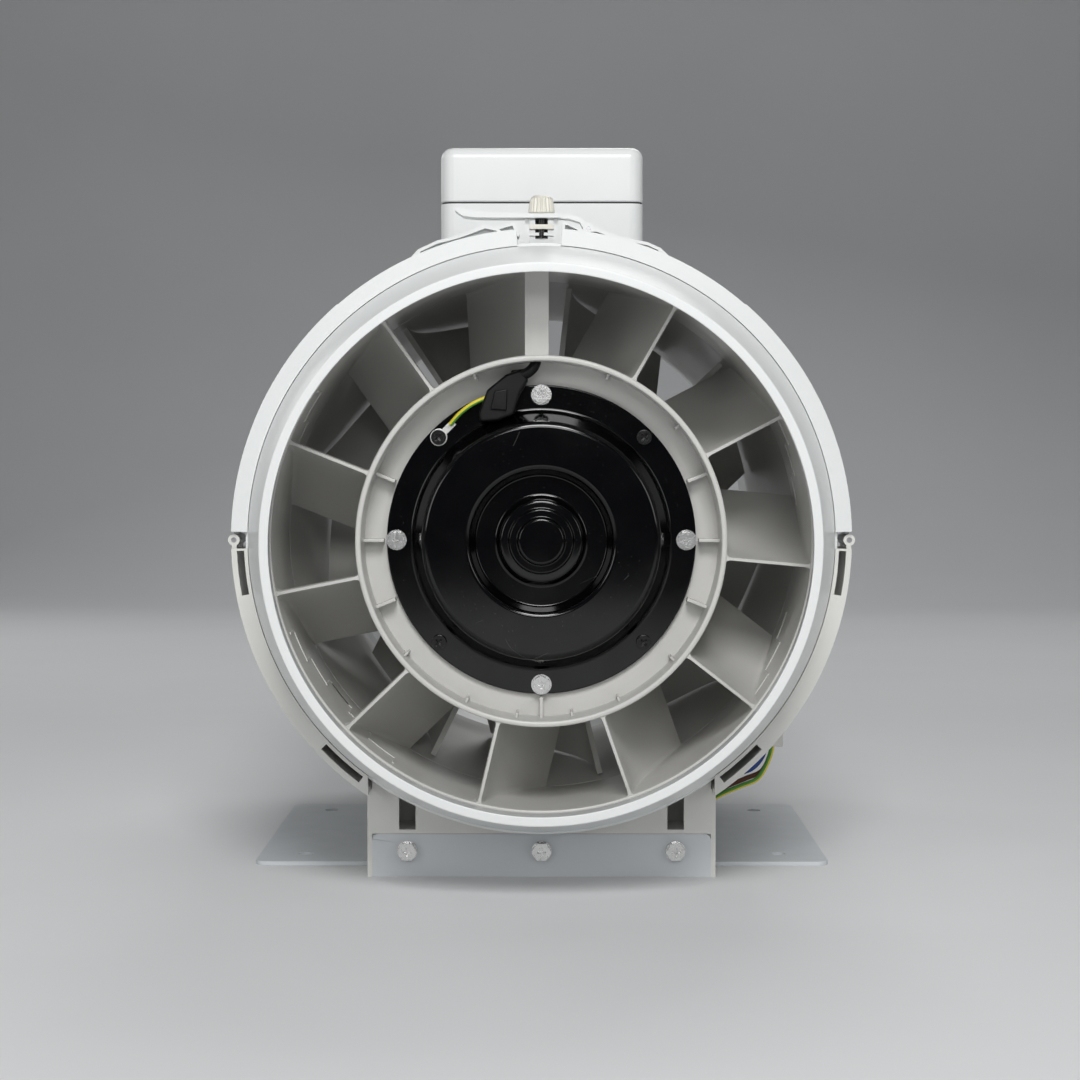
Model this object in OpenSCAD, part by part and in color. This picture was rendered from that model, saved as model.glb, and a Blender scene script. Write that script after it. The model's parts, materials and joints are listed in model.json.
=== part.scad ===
// Inline mixed-flow duct fan, held in two hinged clamp rings on a steel bracket.
// Millimetres, +Z up, +X to the right seen from the outlet, the outlet end towards -Y.
// The origin is on the ground plane, below the middle of the fan. Angles run from +X towards +Z.

/* [Collars] */
// Outside radius of the collars that the ducts slide over
collar_r = 124; // [104:1:150]
// Wall thickness of a collar at its rim
collar_wall = 4.4; // [3:0.2:6]
// Length of the straight part of a collar
collar_len = 28; // [20:1:50]
// Length of the cone between a collar and its clamp ring
cone_len = 31; // [24:1:40]
// How much wider the cone is at the clamp ring than at the collar
cone_rise = 12; // [10:0.5:16]
// Wall thickness of the cone at the clamp ring
cone_wall = 3; // [2:0.2:4]

/* [Clamp rings] */
// Distance from the middle of the fan to the middle of each clamp ring
clamp_y = 119; // [112:1:150]
// Width of a clamp ring along the duct
clamp_w = 30; // [28:1:36]
// Thickness of the clamp ring's lips
lip_t = 2.5; // [1.6:0.1:3]
// Radial wall of the clamp ring
ring_wall = 2.2; // [1.6:0.1:3]
// Extra radius of the thick band on the clamp ring
rim_rise = 1.9; // [1:0.1:4]
// Radial space between the flanges and the clamp ring's wall
channel_gap = 4.2; // [3:0.1:6]
// Radius of the hinge pins of the clamp arms
hinge_pin_r = 1.25; // [1:0.05:1.5]
// How far a clamp arm's end stands off its hinge centre
arm_gap = 4; // [3.4:0.1:6]

/* [Flanges] */
// Radial height of the flanges above the cone
flange_rise = 1.6; // [1:0.1:2.2]
// Thickness of a collar's flange
collar_flange_t = 3; // [2:0.1:4]
// Thickness of the rubber seal
seal_t = 2; // [1:0.1:3]
// Thickness of the inner housings' flanges
inner_flange_t = 2.5; // [2:0.1:4]
// Thickness of the casing's flange
casing_flange_t = 4; // [3:0.1:5]

/* [Casing] */
// How much smaller the casing's radius is than the cone's
casing_step = 2; // [1:0.1:4]
// Wall thickness of the casing
casing_wall = 3; // [2:0.1:5]

/* [Bracket and supports] */
// Height of the lowest flange above the ground
ground_gap = 22.4; // [22:0.2:60]
// Sheet thickness of the bracket
bracket_t = 2; // [1.5:0.1:3]
// Width of the bracket between the supports' side walls
bracket_w = 160.2; // [140:0.2:190]
// Height of the bracket's upturned ends
bracket_end_h = 20.5; // [17:0.5:21]
// Width of the bracket across both wings
wing_w = 279; // [250:1:340]
// Length of the wings along the duct
wing_len = 180; // [150:1:182]
// Corner radius of the wings
wing_corner_r = 6; // [2:0.5:12]
// Spacing of the mounting holes across the fan
hole_dx = 234; // [216:1:260]
// Spacing of the mounting holes along the fan
hole_dy = 135; // [110:1:150]
// Radius of the mounting holes
hole_r = 3.75; // [2.5:0.25:5]
// Length of each support along the duct
support_len = 28; // [26:1:28]
// Wall thickness of the supports
support_wall = 2.2; // [1.8:0.1:3]
// Distance from the middle to the outer bracket bolts
bolt_dx = 63.4; // [50:0.2:70]
// Height of the bracket bolts above the ground
bolt_z = 12.5; // [11:0.5:13]
// Radius of the bracket bolts' threads
bolt_r = 2.5; // [2:0.25:3]

/* [Guide vanes] */
// Inside radius of the shroud is this much less than the cone's
shroud_step = 12.5; // [11:0.1:14]
// Wall thickness of the shroud
shroud_wall = 2; // [1.5:0.1:3]
// Outside radius of the hub ring
hub_r = 85.2; // [71:0.1:100]
// Wall thickness of the hub ring
hub_wall = 2.7; // [2:0.1:4]
// Number of guide vanes
vane_count = 11; // [7:1:13]
// Thickness of a guide vane
vane_t = 2.4; // [1.6:0.1:3]
// Depth of the guide vanes along the duct
vane_depth = 76; // [60:1:80]
// How far a vane's rear edge stands to the side of its front edge
vane_shift = 30; // [20:1:40]
// Distance from the middle of the fan to the vanes' front edges
vane_y = 150; // [148:1:152]
// Width of the cable duct at the top
cable_duct_w = 11; // [9:0.5:14]

/* [Impeller] */
// Number of impeller blades
blade_count = 9; // [5:1:11]
// Thickness of a blade
blade_t = 2.6; // [1.8:0.1:3.5]
// Depth of the blades along the duct
blade_depth = 62; // [50:1:70]
// How far a blade's rear edge stands to the side of its front edge
blade_shift = 46; // [30:1:60]
// Gap between the blade tips and the wall round them
tip_gap = 1.6; // [1:0.1:3]
// Gap between the guide vanes and the impeller
stage_gap = 5; // [3:0.5:8]
// Radius of the impeller's hub at its inlet side
nose_r = 62; // [50:1:68]

/* [Motor] */
// Gap between the motor's plate and the hub ring
plate_gap = 10.5; // [8:0.5:12]
// Distance from the plate's edge to its screws
plate_screw_inset = 4.5; // [4:0.5:6]
// Thickness of the pressed sheets of the motor
sheet_t = 1.5; // [1:0.1:2]
// Height of the end shield's dome
dome_h = 17; // [14:0.5:18]
// Distance from the screws to the foot of the dome
dome_inset = 7.5; // [6:0.5:9]
// Outside radius of the recess in the dome
recess_r = 32.5; // [28:0.5:34]
// Radius of the bearing boss in the recess
boss_r = 19; // [16:0.5:22]
// Depth of the recess
recess_depth = 9; // [6:0.5:10]
// Radius of the motor's shaft
shaft_r = 5; // [4:0.5:6]
// Running clearance of the shaft in its bearings
shaft_fit = 0.04; // [0.01:0.01:0.1]
// Outside radius of the bearings
bearing_r = 13; // [11:0.5:14]
// Width of the bearings
bearing_w = 8; // [6:0.5:9]
// Radius of the rotor
rotor_r = 33; // [28:0.5:34]
// Length of the laminated cores
core_len = 20; // [15:1:22]
// Air gap between the rotor and the stator
air_gap = 0.6; // [0.4:0.1:1]

/* [Terminal box] */
// Width of the terminal box across the fan
box_w = 100; // [84:1:130]
// Length of the terminal box along the fan
box_len = 120; // [100:1:150]
// Height of the lid's seam above the casing
box_seam_h = 30; // [26:1:40]
// Height of the lid
lid_h = 27; // [24:1:34]
// Wall thickness of the box
box_wall = 2.5; // [2:0.1:3.5]
// Radius of the box's upright edges
box_edge_r = 6.9; // [4:0.1:9]
// Thickness of the gasket in the seam
gasket_t = 0.8; // [0.5:0.1:1.2]
// Radius of the cable gland's thread
gland_r = 8; // [6:0.5:9]

/* [Latch] */
// Distance across from the middle to the lever's pivot
pivot_x = 22; // [20:0.5:24]
// Radius of the lever's barrel
barrel_r = 2.3; // [2.1:0.1:2.4]
// Radius of the lever's pin
lever_pin_r = 1.1; // [0.9:0.05:1.2]
// Radius of the clamp screw
screw_r = 3; // [2:0.1:3.2]
// Radius of the knob
knob_r = 6.3; // [5.5:0.1:7]
// Height of the knob
knob_h = 8.6; // [7:0.2:11]

/* [Leads] */
// Diameter of each single-core lead
lead_d = 2.4; // [2:0.1:2.6]
// Length of the crimped ferrules
ferrule_len = 8; // [6:1:10]
// Diameter of the motor's cable
motor_cable_d = 5; // [4:0.5:5]

/* [Hidden] */
$fn = 96;

cut = 0.1;
seat_gap = 0.1;
swing_gap = 0.3;
pin_fit = 0.05;
edge = 0.8;

// Radii, from the duct's axis
cone_r = collar_r + cone_rise;
flange_r = cone_r + flange_rise;
lip_r = cone_r + 0.4;
channel_r = flange_r + channel_gap;
ring_r = channel_r + ring_wall;
rim_r = ring_r + rim_rise;
casing_r = cone_r - casing_step;
shroud_r = cone_r - shroud_step;
shroud_out_r = shroud_r + shroud_wall;
axis_h = flange_r + ground_gap;

// Places along the duct, as distances from the middle
clamp_out = clamp_y + clamp_w / 2;
clamp_in = clamp_y - clamp_w / 2;
rim_y = clamp_y + 0.5;
cone_out = clamp_out + cone_len;
end_y = cone_out + collar_len;
flange_y0 = clamp_out - lip_t - swing_gap;
flange_y1 = flange_y0 - collar_flange_t;
seal_y1 = flange_y1 - seal_t;
inner_y1 = seal_y1 - inner_flange_t;
casing_y1 = inner_y1 - casing_flange_t;
bead_y0 = clamp_in + lip_t + swing_gap;
bead_w = 2.5;
vane_end = vane_y - vane_depth;

// Motor
plate_r = hub_r - hub_wall - plate_gap;
plate_screw_r = plate_r - plate_screw_inset;
dome_r = plate_screw_r - dome_inset;
can_r = dome_r - 4.5;
plate_y = 129;
dome_y = plate_y + dome_h;
floor_y = plate_y - 2 * sheet_t;
floor_t = 3;
bearing_y = dome_y - sheet_t - bearing_w;
can_end = 84;
tag_t = 0.8;
core_y = 95;

// Impeller
blade_front = vane_end - stage_gap;
blade_rear = blade_front - blade_depth;
throat_r = shroud_r - 14;

// Supports
side_x = bracket_w / 2;
ledge_z = bracket_end_h + 0.1;
window_x0 = bolt_dx - 3.9;
window_x1 = bolt_dx + 3.9;
support_in = clamp_y - support_len;

// Hinges
hinge_x = channel_r + 1.3;
knuckle_r = 2.7;
arm_knuckle_w = 9.2;
knuckle_gap = 0.4;
knuckle_w = 7;
arm_a0 = asin(arm_gap / hinge_x);
arm_knuckle_y = -clamp_y - arm_knuckle_w / 2;
knuckle_front = arm_knuckle_y - knuckle_gap - knuckle_w;
knuckle_back = -clamp_y + arm_knuckle_w / 2 + knuckle_gap;

// Latch
top_z = axis_h + channel_r;
pivot_z = top_z + 3.2;
plate_under_z = top_z + 8.4;
lever_t = 2;
latch_w = 9.2;
handle_w = 14;
ear_w = 2.6;
block_w = 15;
block_y0 = -clamp_y - 2.5;
block_y1 = block_y0 + block_w;
latch_y0 = block_y0 + ear_w + 0.3;
latch_y1 = latch_y0 + latch_w;
saddle_x0 = 5.6;
saddle_x1 = 7.7;

// Terminal box
seam_z = axis_h + casing_r + box_seam_h;
lid_top = seam_z + lid_h;
post_r = 4;
gland_z = seam_z - 12.5;

// Each lead runs from the clip, round behind the support and onto the bracket's plate.
ferrule_r = lead_d / 2 + 0.1;
lead_rest_z = bracket_t + ferrule_r + 0.1;
lead_knee_z = lead_rest_z + 0.8;
earth_route = [
    [112, -90, 60], [110, -90, 52], [105, -90, 43], [97, -89, 39], [88, -88, 35], [78, -86, 29],
    [67, -83, 20], [57, -77, 10], [51, -66, lead_knee_z], [49, -50, lead_rest_z], [47, -30, lead_rest_z],
    [45, -6, lead_rest_z], [44, 18, lead_rest_z]
];
brown_route = [
    [112, -87, 60], [111, -87, 54], [107, -87, 46], [99, -86, 42], [90, -85, 38], [80, -83, 32],
    [69, -80, 23], [60, -74, 12], [55, -63, lead_knee_z], [53, -50, lead_rest_z], [51, -30, lead_rest_z],
    [49, -6, lead_rest_z], [48, 15, lead_rest_z]
];
blue_route = [
    [109, -88, 60], [107, -88, 53], [102, -87, 47], [94, -85, 44], [85, -81.5, 39], [76, -78, 32],
    [65, -75, 22], [55, -70, 12], [47, -60, lead_knee_z], [45, -46, lead_rest_z], [43, -28, lead_rest_z],
    [41, -4, lead_rest_z], [40, 20, lead_rest_z]
];

// A shape drawn in X and Z, as seen from the outlet, that fills y0 to y1.
module slab(y0, y1) {
    translate([0, y1, 0]) rotate([90, 0, 0]) linear_extrude(y1 - y0) children();
}

// A profile of radius and distance along the duct, turned about the duct's axis.
module turned() {
    translate([0, 0, axis_h]) rotate([-90, 0, 0]) rotate_extrude() children();
}

// The same, from angle a0 to a1 seen from the outlet.
module turned_part(a0, a1) {
    translate([0, 0, axis_h]) rotate([-90, 0, 0]) rotate([0, 0, -a1]) rotate_extrude(angle = a1 - a0) children();
}

module tube(r_in, r_out, y0, y1) {
    turned() translate([r_in, y0]) square([r_out - r_in, y1 - y0]);
}

// Its children stand on the duct's axis and are turned up by angle a.
module at_angle(a) {
    translate([0, 0, axis_h]) rotate([0, -a, 0]) children();
}

// A round bar along the duct, at x and z.
module bar(x, z, r, y0, y1) {
    translate([x, y1, z]) rotate([90, 0, 0]) cylinder(h = y1 - y0, r = r);
}

module hex_bar(x, z, across, y0, y1) {
    translate([x, y1, z]) rotate([90, 0, 0]) cylinder(h = y1 - y0, r = across / sqrt(3), $fn = 6);
}

module rear() {
    mirror([0, 1, 0]) children();
}

module mirrored_x() {
    children();
    mirror([1, 0, 0]) children();
}

module rounded_rect(w, d, r) {
    square([w - 2 * r, d], center = true);
    square([w, d - 2 * r], center = true);
    for (sx = [-1, 1], sy = [-1, 1]) translate([sx * (w / 2 - r), sy * (d / 2 - r)]) circle(r);
}

// ---------- bracket and supports ----------

module mounting_bracket() {
    color([0.72, 0.76, 0.80]) difference() {
        union() {
            linear_extrude(bracket_t) {
                rounded_rect(wing_w, wing_len, wing_corner_r);
                square([bracket_w, 2 * clamp_y], center = true);
            }
            for (s = [0, 1]) mirror([0, s, 0]) slab(-clamp_y, -clamp_y + bracket_t) bracket_end();
        }
        for (sx = [-1, 1], sy = [-1, 1])
            translate([sx * hole_dx / 2, sy * hole_dy / 2, -cut]) cylinder(h = bracket_t + 2 * cut, r = hole_r);
        for (x = [-bolt_dx, 0, bolt_dx], s = [0, 1])
            mirror([0, s, 0]) bar(x, bolt_z, bolt_r + 0.3, -clamp_y - cut, -clamp_y + bracket_t + cut);
    }
}

module bracket_end() {
    r = 3;
    translate([-bracket_w / 2, 0]) square([bracket_w, bracket_end_h - r]);
    translate([-bracket_w / 2 + r, 0]) square([bracket_w - 2 * r, bracket_end_h]);
    for (s = [-1, 1]) translate([s * (bracket_w / 2 - r), bracket_end_h - r]) circle(r);
}

module bracket_bolts() {
    color([0.85, 0.85, 0.86]) for (x = [-bolt_dx, 0, bolt_dx], s = [0, 1]) mirror([0, s, 0]) {
        difference() {
            union() {
                bar(x, bolt_z, 4.75, -clamp_y - 1.2, -clamp_y);
                hex_bar(x, bolt_z, 8, -clamp_y - 4.4, -clamp_y - 1.2);
                bar(x, bolt_z, bolt_r, -clamp_y - 1.2, -clamp_y + 18);
            }
            cross_recess(x, bolt_z, 4.2, -clamp_y - 4.4, 1.8);
        }
    }
}

// The cross driven by a screwdriver, cut into a head whose face is at y.
module cross_recess(x, z, size, y, depth) {
    for (a = [0, 90]) translate([x, y + depth / 2, z]) rotate([0, a, 0])
        cube([size, depth + cut, size / 4.5], center = true);
}

module support_outline(z0) {
    difference() {
        translate([-side_x, z0]) square([2 * side_x, axis_h - z0]);
        translate([0, axis_h]) circle(casing_r + 0.8);
        translate([-side_x - cut, axis_h - channel_r * 0.72]) square([2 * side_x + 1, channel_r]);
    }
}

module channel_profile(rim) {
    polygon([
        [lip_r, -clamp_out], [ring_r, -clamp_out], [ring_r, -rim_y], [rim, -rim_y], [rim, -clamp_in],
        [lip_r + 0.6, -clamp_in], [lip_r + 0.6, -clamp_in - lip_t], [channel_r, -clamp_in - lip_t],
        [channel_r, -clamp_out + lip_t], [lip_r, -clamp_out + lip_t]
    ]);
}

module lip_slot(a0, a1) {
    turned_part(a0, a1) translate([lip_r + 1.6, -clamp_out - 1]) square([channel_r - lip_r - 2, lip_t + 2]);
}

module cradle() {
    seam = 0.7;
    low_a = acos((side_x + support_wall + 3) / channel_r);
    color([0.93, 0.93, 0.91]) difference() {
        union() {
            intersection() {
                turned_part(-75, -arm_a0) channel_profile(rim_r);
                translate([side_x + seam, -clamp_out - 1, 0]) cube([200, clamp_w + 2, axis_h]);
            }
            intersection() {
                turned_part(180 + arm_a0, 255) channel_profile(rim_r);
                translate([-side_x - seam - 200, -clamp_out - 1, 0]) cube([200, clamp_w + 2, axis_h]);
            }
            mirrored_x() slab(-clamp_y, -support_in) difference() {
                translate([side_x, 0]) square([support_wall, axis_h]);
                translate([0, axis_h]) circle(channel_r + ring_wall / 2);
                translate([side_x - cut, axis_h - channel_r / 2]) square([support_wall + 1, channel_r]);
            }
            slab(-clamp_y, -clamp_y + support_wall) difference() {
                support_outline(ledge_z);
                for (s = [-1, 1]) translate([s * (window_x0 + window_x1) / 2, axis_h / 2])
                    square([window_x1 - window_x0, axis_h], center = true);
            }
            slab(-support_in - support_wall, -support_in) support_outline(bracket_t);
            slab(-clamp_y, -support_in) translate([-side_x, ledge_z]) square([2 * side_x, support_wall - 0.3]);
            slab(-clamp_y + bracket_t, -clamp_y + bracket_t + support_wall)
                translate([-side_x, bracket_t]) square([2 * side_x, ledge_z - bracket_t]);
            for (x = [-bolt_dx, 0, bolt_dx])
                bar(x, bolt_z, 6, -clamp_y + bracket_t, -support_in - cut);
            for (x = [-44, -22, 22, 44]) slab(-clamp_y + bracket_t, -support_in) intersection() {
                support_outline(bracket_t);
                translate([x - 1, 0]) square([2, axis_h]);
            }
            intersection() {
                turned_part(-150, -30) translate([casing_r + 0.5, -clamp_y + 1]) square([2.3, support_len - 2]);
                translate([-side_x - 1, -clamp_y, 0]) cube([2 * side_x + 2, support_len, axis_h]);
            }
            mirrored_x() for (y = [knuckle_front, knuckle_back]) {
                bar(hinge_x, axis_h, knuckle_r, y, y + knuckle_w);
                translate([channel_r, y, axis_h - arm_gap - 0.6]) cube([ring_wall, knuckle_w, arm_gap + 0.6]);
            }
        }
        for (x = [-bolt_dx, 0, bolt_dx]) bar(x, bolt_z, bolt_r, -clamp_y, -clamp_y + 22);
        mirrored_x() bar(hinge_x, axis_h, hinge_pin_r, -clamp_out, -clamp_in);
        tube(casing_r - 1, flange_r + swing_gap, -bead_y0 - bead_w - swing_gap, -bead_y0 + swing_gap - 0.05);
        lip_slot(-10.5, -arm_a0 - 0.4);
        lip_slot(180 + arm_a0 + 0.4, 190.5);
        lip_slot(-low_a, -low_a + 9.5);
        lip_slot(180 + low_a - 9.5, 180 + low_a);
    }
}

module hinge_pins() {
    color([0.8, 0.8, 0.82]) mirrored_x() bar(hinge_x, axis_h, hinge_pin_r, knuckle_front, knuckle_back + knuckle_w);
}

// ---------- collars, seals and casing ----------

module spigot() {
    color([0.95, 0.96, 0.96]) turned() polygon([
        [collar_r - collar_wall + edge, -end_y], [collar_r - edge, -end_y], [collar_r, -end_y + edge],
        [collar_r, -cone_out], [cone_r, -clamp_out - 0.4], [cone_r, -flange_y0], [flange_r, -flange_y0],
        [flange_r, -flange_y1], [cone_r - cone_wall, -flange_y1], [cone_r - cone_wall, -clamp_out],
        [collar_r - collar_wall, -cone_out], [collar_r - collar_wall, -end_y + edge]
    ]);
}

module seal() {
    color([0.15, 0.15, 0.15]) tube(cone_r - cone_wall + 0.4, flange_r - 0.4, -flange_y1, -seal_y1);
}

module fan_casing() {
    color([0.93, 0.94, 0.94]) difference() {
        union() {
            turned() polygon([
                [casing_r - casing_wall, -inner_y1], [flange_r, -inner_y1], [flange_r, -casing_y1],
                [casing_r, -casing_y1], [casing_r, -bead_y0 - bead_w], [flange_r, -bead_y0 - bead_w],
                [flange_r, -bead_y0], [casing_r, -bead_y0], [casing_r, bead_y0], [flange_r, bead_y0],
                [flange_r, bead_y0 + bead_w], [casing_r, bead_y0 + bead_w], [casing_r, casing_y1],
                [flange_r, casing_y1], [flange_r, inner_y1], [casing_r - casing_wall, inner_y1]
            ]);
            for (a = [0, 30, 150, 180]) at_angle(a) translate([casing_r - 1, -80, -1.5]) cube([3.5, 160, 3]);
        }
        translate([0, -50, axis_h]) cylinder(h = casing_r + 1, r = motor_cable_d / 2 + 1.5);
    }
}

module inlet_cone() {
    wall = 2.5;
    inner = [
        [shroud_r, -vane_end + 0.6], [shroud_r - 0.5, -blade_front], [throat_r + 6, -blade_rear - 24],
        [throat_r, -blade_rear + 6], [throat_r, -blade_rear + 18], [throat_r + 3, 50],
        [shroud_r - 4, 96], [shroud_r, 110]
    ];
    outer = [for (i = [len(inner) - 1:-1:0]) [inner[i][0] + wall, inner[i][1]]];
    color([0.86, 0.87, 0.87]) {
        turned() polygon(concat(inner, outer));
        tube(shroud_r, shroud_r + wall, 110, inner_y1);
        tube(shroud_r, flange_r, inner_y1, seal_y1);
    }
}

// ---------- guide vanes ----------

// The curved outline of a vane or blade: v along the duct from its front edge, u to the side.
module curved_strip(depth, shift, t) {
    turn = 2 * atan(shift / depth);
    r = depth / sin(turn);
    intersection() {
        translate([r, 0]) difference() {
            circle(r + t / 2);
            circle(r - t / 2);
        }
        translate([-t, 0]) square([r, depth]);
    }
}

// A strip whose front edge is at angle a and y, standing out along its radius; side is 1 or -1.
module strip(a, y, side, depth, shift, t, r0, r1) {
    at_angle(a) translate([r0, y, 0]) rotate([0, 90, 0]) linear_extrude(r1 - r0)
        mirror([side < 0 ? 0 : 1, 0]) curved_strip(depth, shift, t);
}

module guide_vane_housing() {
    duct_x0 = -cable_duct_w / 2 - 2;
    color([0.88, 0.89, 0.88]) difference() {
        union() {
            tube(shroud_r, shroud_out_r, -vane_y, -vane_end);
            tube(shroud_out_r - 1, flange_r, -seal_y1, -inner_y1);
            tube(hub_r - hub_wall, hub_r, -vane_y, -vane_end);
            tube(can_r + 1, hub_r - 1.5, -floor_y, -floor_y + floor_t);
            intersection() {
                union() for (k = [0:vane_count - 1])
                    strip(93 - k * 360 / vane_count, -vane_y + 1, 1, vane_depth - 1, vane_shift, vane_t,
                        hub_r * 0.8, shroud_out_r);
                tube(hub_r - 1, shroud_r + 1, -vane_y, -vane_end - 0.8);
            }
            intersection() {
                translate([duct_x0, -vane_y + 1.2, axis_h + hub_r * 0.8]) cube([cable_duct_w, 34, shroud_r]);
                tube(hub_r - 1.2, shroud_r + 0.8, -vane_y, -vane_end);
            }
            for (a = [0:90:270]) at_angle(a)
                translate([plate_screw_r, -floor_y + 12, 0]) rotate([90, 0, 0]) cylinder(h = 12, r = 4.5);
            for (a = [0, 180, 270, 22, 158, 202, 338]) at_angle(a)
                translate([plate_r + 1, -floor_y - 9, -0.8]) cube([hub_r - hub_wall - plate_r, 9.5, 1.6]);
            for (a = [40, 68, 112, 220, 245, 262, 280, 296, 318]) at_angle(a)
                translate([hub_r - hub_wall - 2.2, -floor_y - 14, -0.6]) cube([2.7, 14.5, 1.2]);
        }
        translate([duct_x0 + 1.5, -vane_y + 2.5, axis_h + hub_r * 0.8]) cube([cable_duct_w - 3, 31, shroud_r]);
        for (a = [0:90:270]) at_angle(a)
            translate([plate_screw_r, -floor_y + 14, 0]) rotate([90, 0, 0]) cylinder(h = 15, r = 2);
    }
}

// ---------- impeller ----------

module impeller() {
    shell = 2.5;
    hub_front_r = hub_r - 1.5;
    color([0.83, 0.84, 0.83]) {
        turned() polygon([
            [hub_front_r - shell, -blade_front], [hub_front_r, -blade_front],
            [hub_front_r - 4, -blade_front + blade_depth / 2], [nose_r, -blade_rear],
            [nose_r - shell, -blade_rear], [hub_front_r - 4 - shell, -blade_front + blade_depth / 2]
        ]);
        tube(12, nose_r + 8, -blade_rear - 22, -blade_rear - 18);
        tube(shaft_r, 12.5, -blade_rear - 36, -blade_rear - 12);
        intersection() {
            union() for (k = [0:blade_count - 1])
                strip(43.7 + k * 360 / blade_count, -blade_front, -1, blade_depth, blade_shift, blade_t,
                    nose_r * 0.7, shroud_r);
            turned() polygon([
                [hub_front_r - 1, -blade_front], [shroud_r - 0.5 - tip_gap, -blade_front],
                [throat_r + 6 - tip_gap, -blade_rear - 24], [throat_r + 1.2 - tip_gap, -blade_rear],
                [nose_r - 1, -blade_rear], [hub_front_r - 5, -blade_front + blade_depth / 2]
            ]);
        }
    }
}

module impeller_cap() {
    color([0.83, 0.84, 0.83]) turned() polygon([
        [0, -blade_rear + 18], [20, -blade_rear + 17], [38, -blade_rear + 13], [52, -blade_rear + 7],
        [nose_r, -blade_rear], [nose_r - 3, -blade_rear], [51, -blade_rear + 5], [37, -blade_rear + 11],
        [20, -blade_rear + 15], [0, -blade_rear + 16]
    ]);
}

module impeller_nut() {
    color([0.75, 0.75, 0.77]) difference() {
        hex_bar(0, axis_h, 19, -blade_rear - 12, -blade_rear - 5);
        bar(0, axis_h, shaft_r, -blade_rear - 13, -blade_rear - 4);
    }
}

// ---------- motor ----------

module motor_shaft() {
    color([0.78, 0.78, 0.80]) bar(0, axis_h, shaft_r, -dome_y + sheet_t + 1, -blade_rear - 3);
}

module rotor_core() {
    color([0.6, 0.6, 0.62]) tube(shaft_r, rotor_r, -core_y - core_len, -core_y);
}

module bearing(y) {
    color([0.75, 0.76, 0.78]) tube(shaft_r + shaft_fit, bearing_r, y, y + bearing_w);
}

module stator_core() {
    color([0.45, 0.45, 0.47]) tube(rotor_r + air_gap, can_r - sheet_t, -core_y - core_len, -core_y);
}

module stator_windings() {
    color([0.72, 0.42, 0.2]) for (y = [-core_y - core_len - 6, -core_y])
        tube(rotor_r + 2, can_r - sheet_t - 1, y, y + 6);
}

module motor_can() {
    color([0.12, 0.12, 0.13]) difference() {
        union() {
            tube(can_r - sheet_t, can_r, -floor_y, -can_end);
            tube(can_r - sheet_t, plate_r, -plate_y + sheet_t, -floor_y);
            tube(bearing_r, can_r, -can_end - sheet_t, -can_end);
            tube(bearing_r, bearing_r + sheet_t, -can_end - sheet_t, -can_end + bearing_w);
        }
        plate_holes();
    }
}

module plate_holes() {
    for (a = [0:45:315]) at_angle(a)
        translate([plate_screw_r, -plate_y + 10, 0]) rotate([90, 0, 0]) cylinder(h = 20, r = 2);
}

module motor_end_shield() {
    flat_r = dome_r - 7;
    recess_y = dome_y - recess_depth;
    back = dome_y - sheet_t;
    color([0.05, 0.05, 0.055]) difference() {
        turned() polygon([
            [0, -dome_y - 2], [boss_r - 9, -dome_y - 2], [boss_r - 8, -dome_y - 1.4], [boss_r - 7.6, -dome_y],
            [boss_r - 4.5, -dome_y], [boss_r - 4, -dome_y + 1], [boss_r - 0.6, -dome_y + 1.4],
            [boss_r, -dome_y + 2.2], [boss_r + 1, -recess_y - 1], [boss_r + 2, -recess_y],
            [recess_r - 3, -recess_y], [recess_r - 1.5, -recess_y - 1], [recess_r, -dome_y + 1.5],
            [recess_r + 1.2, -dome_y + 0.4], [recess_r + 4, -dome_y], [flat_r, -dome_y + 0.8],
            [flat_r + 2.6, -dome_y + 2], [flat_r + 4.6, -dome_y + 4.4], [flat_r + 5.8, -dome_y + 8],
            [dome_r, -plate_y - 2.2], [dome_r + 0.7, -plate_y - 0.6], [dome_r + 2.2, -plate_y],
            [plate_r, -plate_y], [plate_r, -plate_y + sheet_t], [dome_r + 1, -plate_y + sheet_t],
            [dome_r - 1.6, -plate_y - 1], [flat_r + 4.2, -dome_y + 8.4], [flat_r + 1.6, -back + 2],
            [recess_r + 3, -back + 0.4], [recess_r + 1, -recess_y + sheet_t], [bearing_r, -recess_y + sheet_t],
            [bearing_r, -back], [0, -back]
        ]);
        plate_holes();
    }
}

module plate_screw(a, head_r, hex, lift = 0) {
    at_angle(a) translate([plate_screw_r, -lift, 0]) difference() {
        union() {
            bar(0, 0, head_r, -plate_y - (hex ? 0.9 : 2.2), -plate_y);
            if (hex) hex_bar(0, 0, 7.4, -plate_y - 3.4, -plate_y - 0.9);
            bar(0, 0, 2, -plate_y - 0.5, -plate_y + (hex ? 12 : 2 * sheet_t - 0.1));
        }
        cross_recess(0, 0, hex ? 3.8 : 3.6, -plate_y - (hex ? 3.4 : 2.2), 1.5);
    }
}

module motor_screws() {
    color([0.86, 0.86, 0.87]) for (a = [0:90:270]) plate_screw(a, 4.75, true);
}

module shield_screws() {
    color([0.06, 0.06, 0.06]) {
        for (a = [45, 225, 315]) plate_screw(a, 3.5, false);
        plate_screw(135, 3.5, false, tag_t);
    }
}

module earth_tag() {
    color([0.8, 0.8, 0.78]) at_angle(135) difference() {
        union() {
            bar(plate_screw_r, 0, 4, -plate_y - tag_t, -plate_y);
            translate([plate_screw_r - 1.6, -plate_y - tag_t, -10]) cube([3.2, tag_t, 8]);
        }
        bar(plate_screw_r, 0, 2, -plate_y - 2, -plate_y + 1);
    }
}

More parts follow.
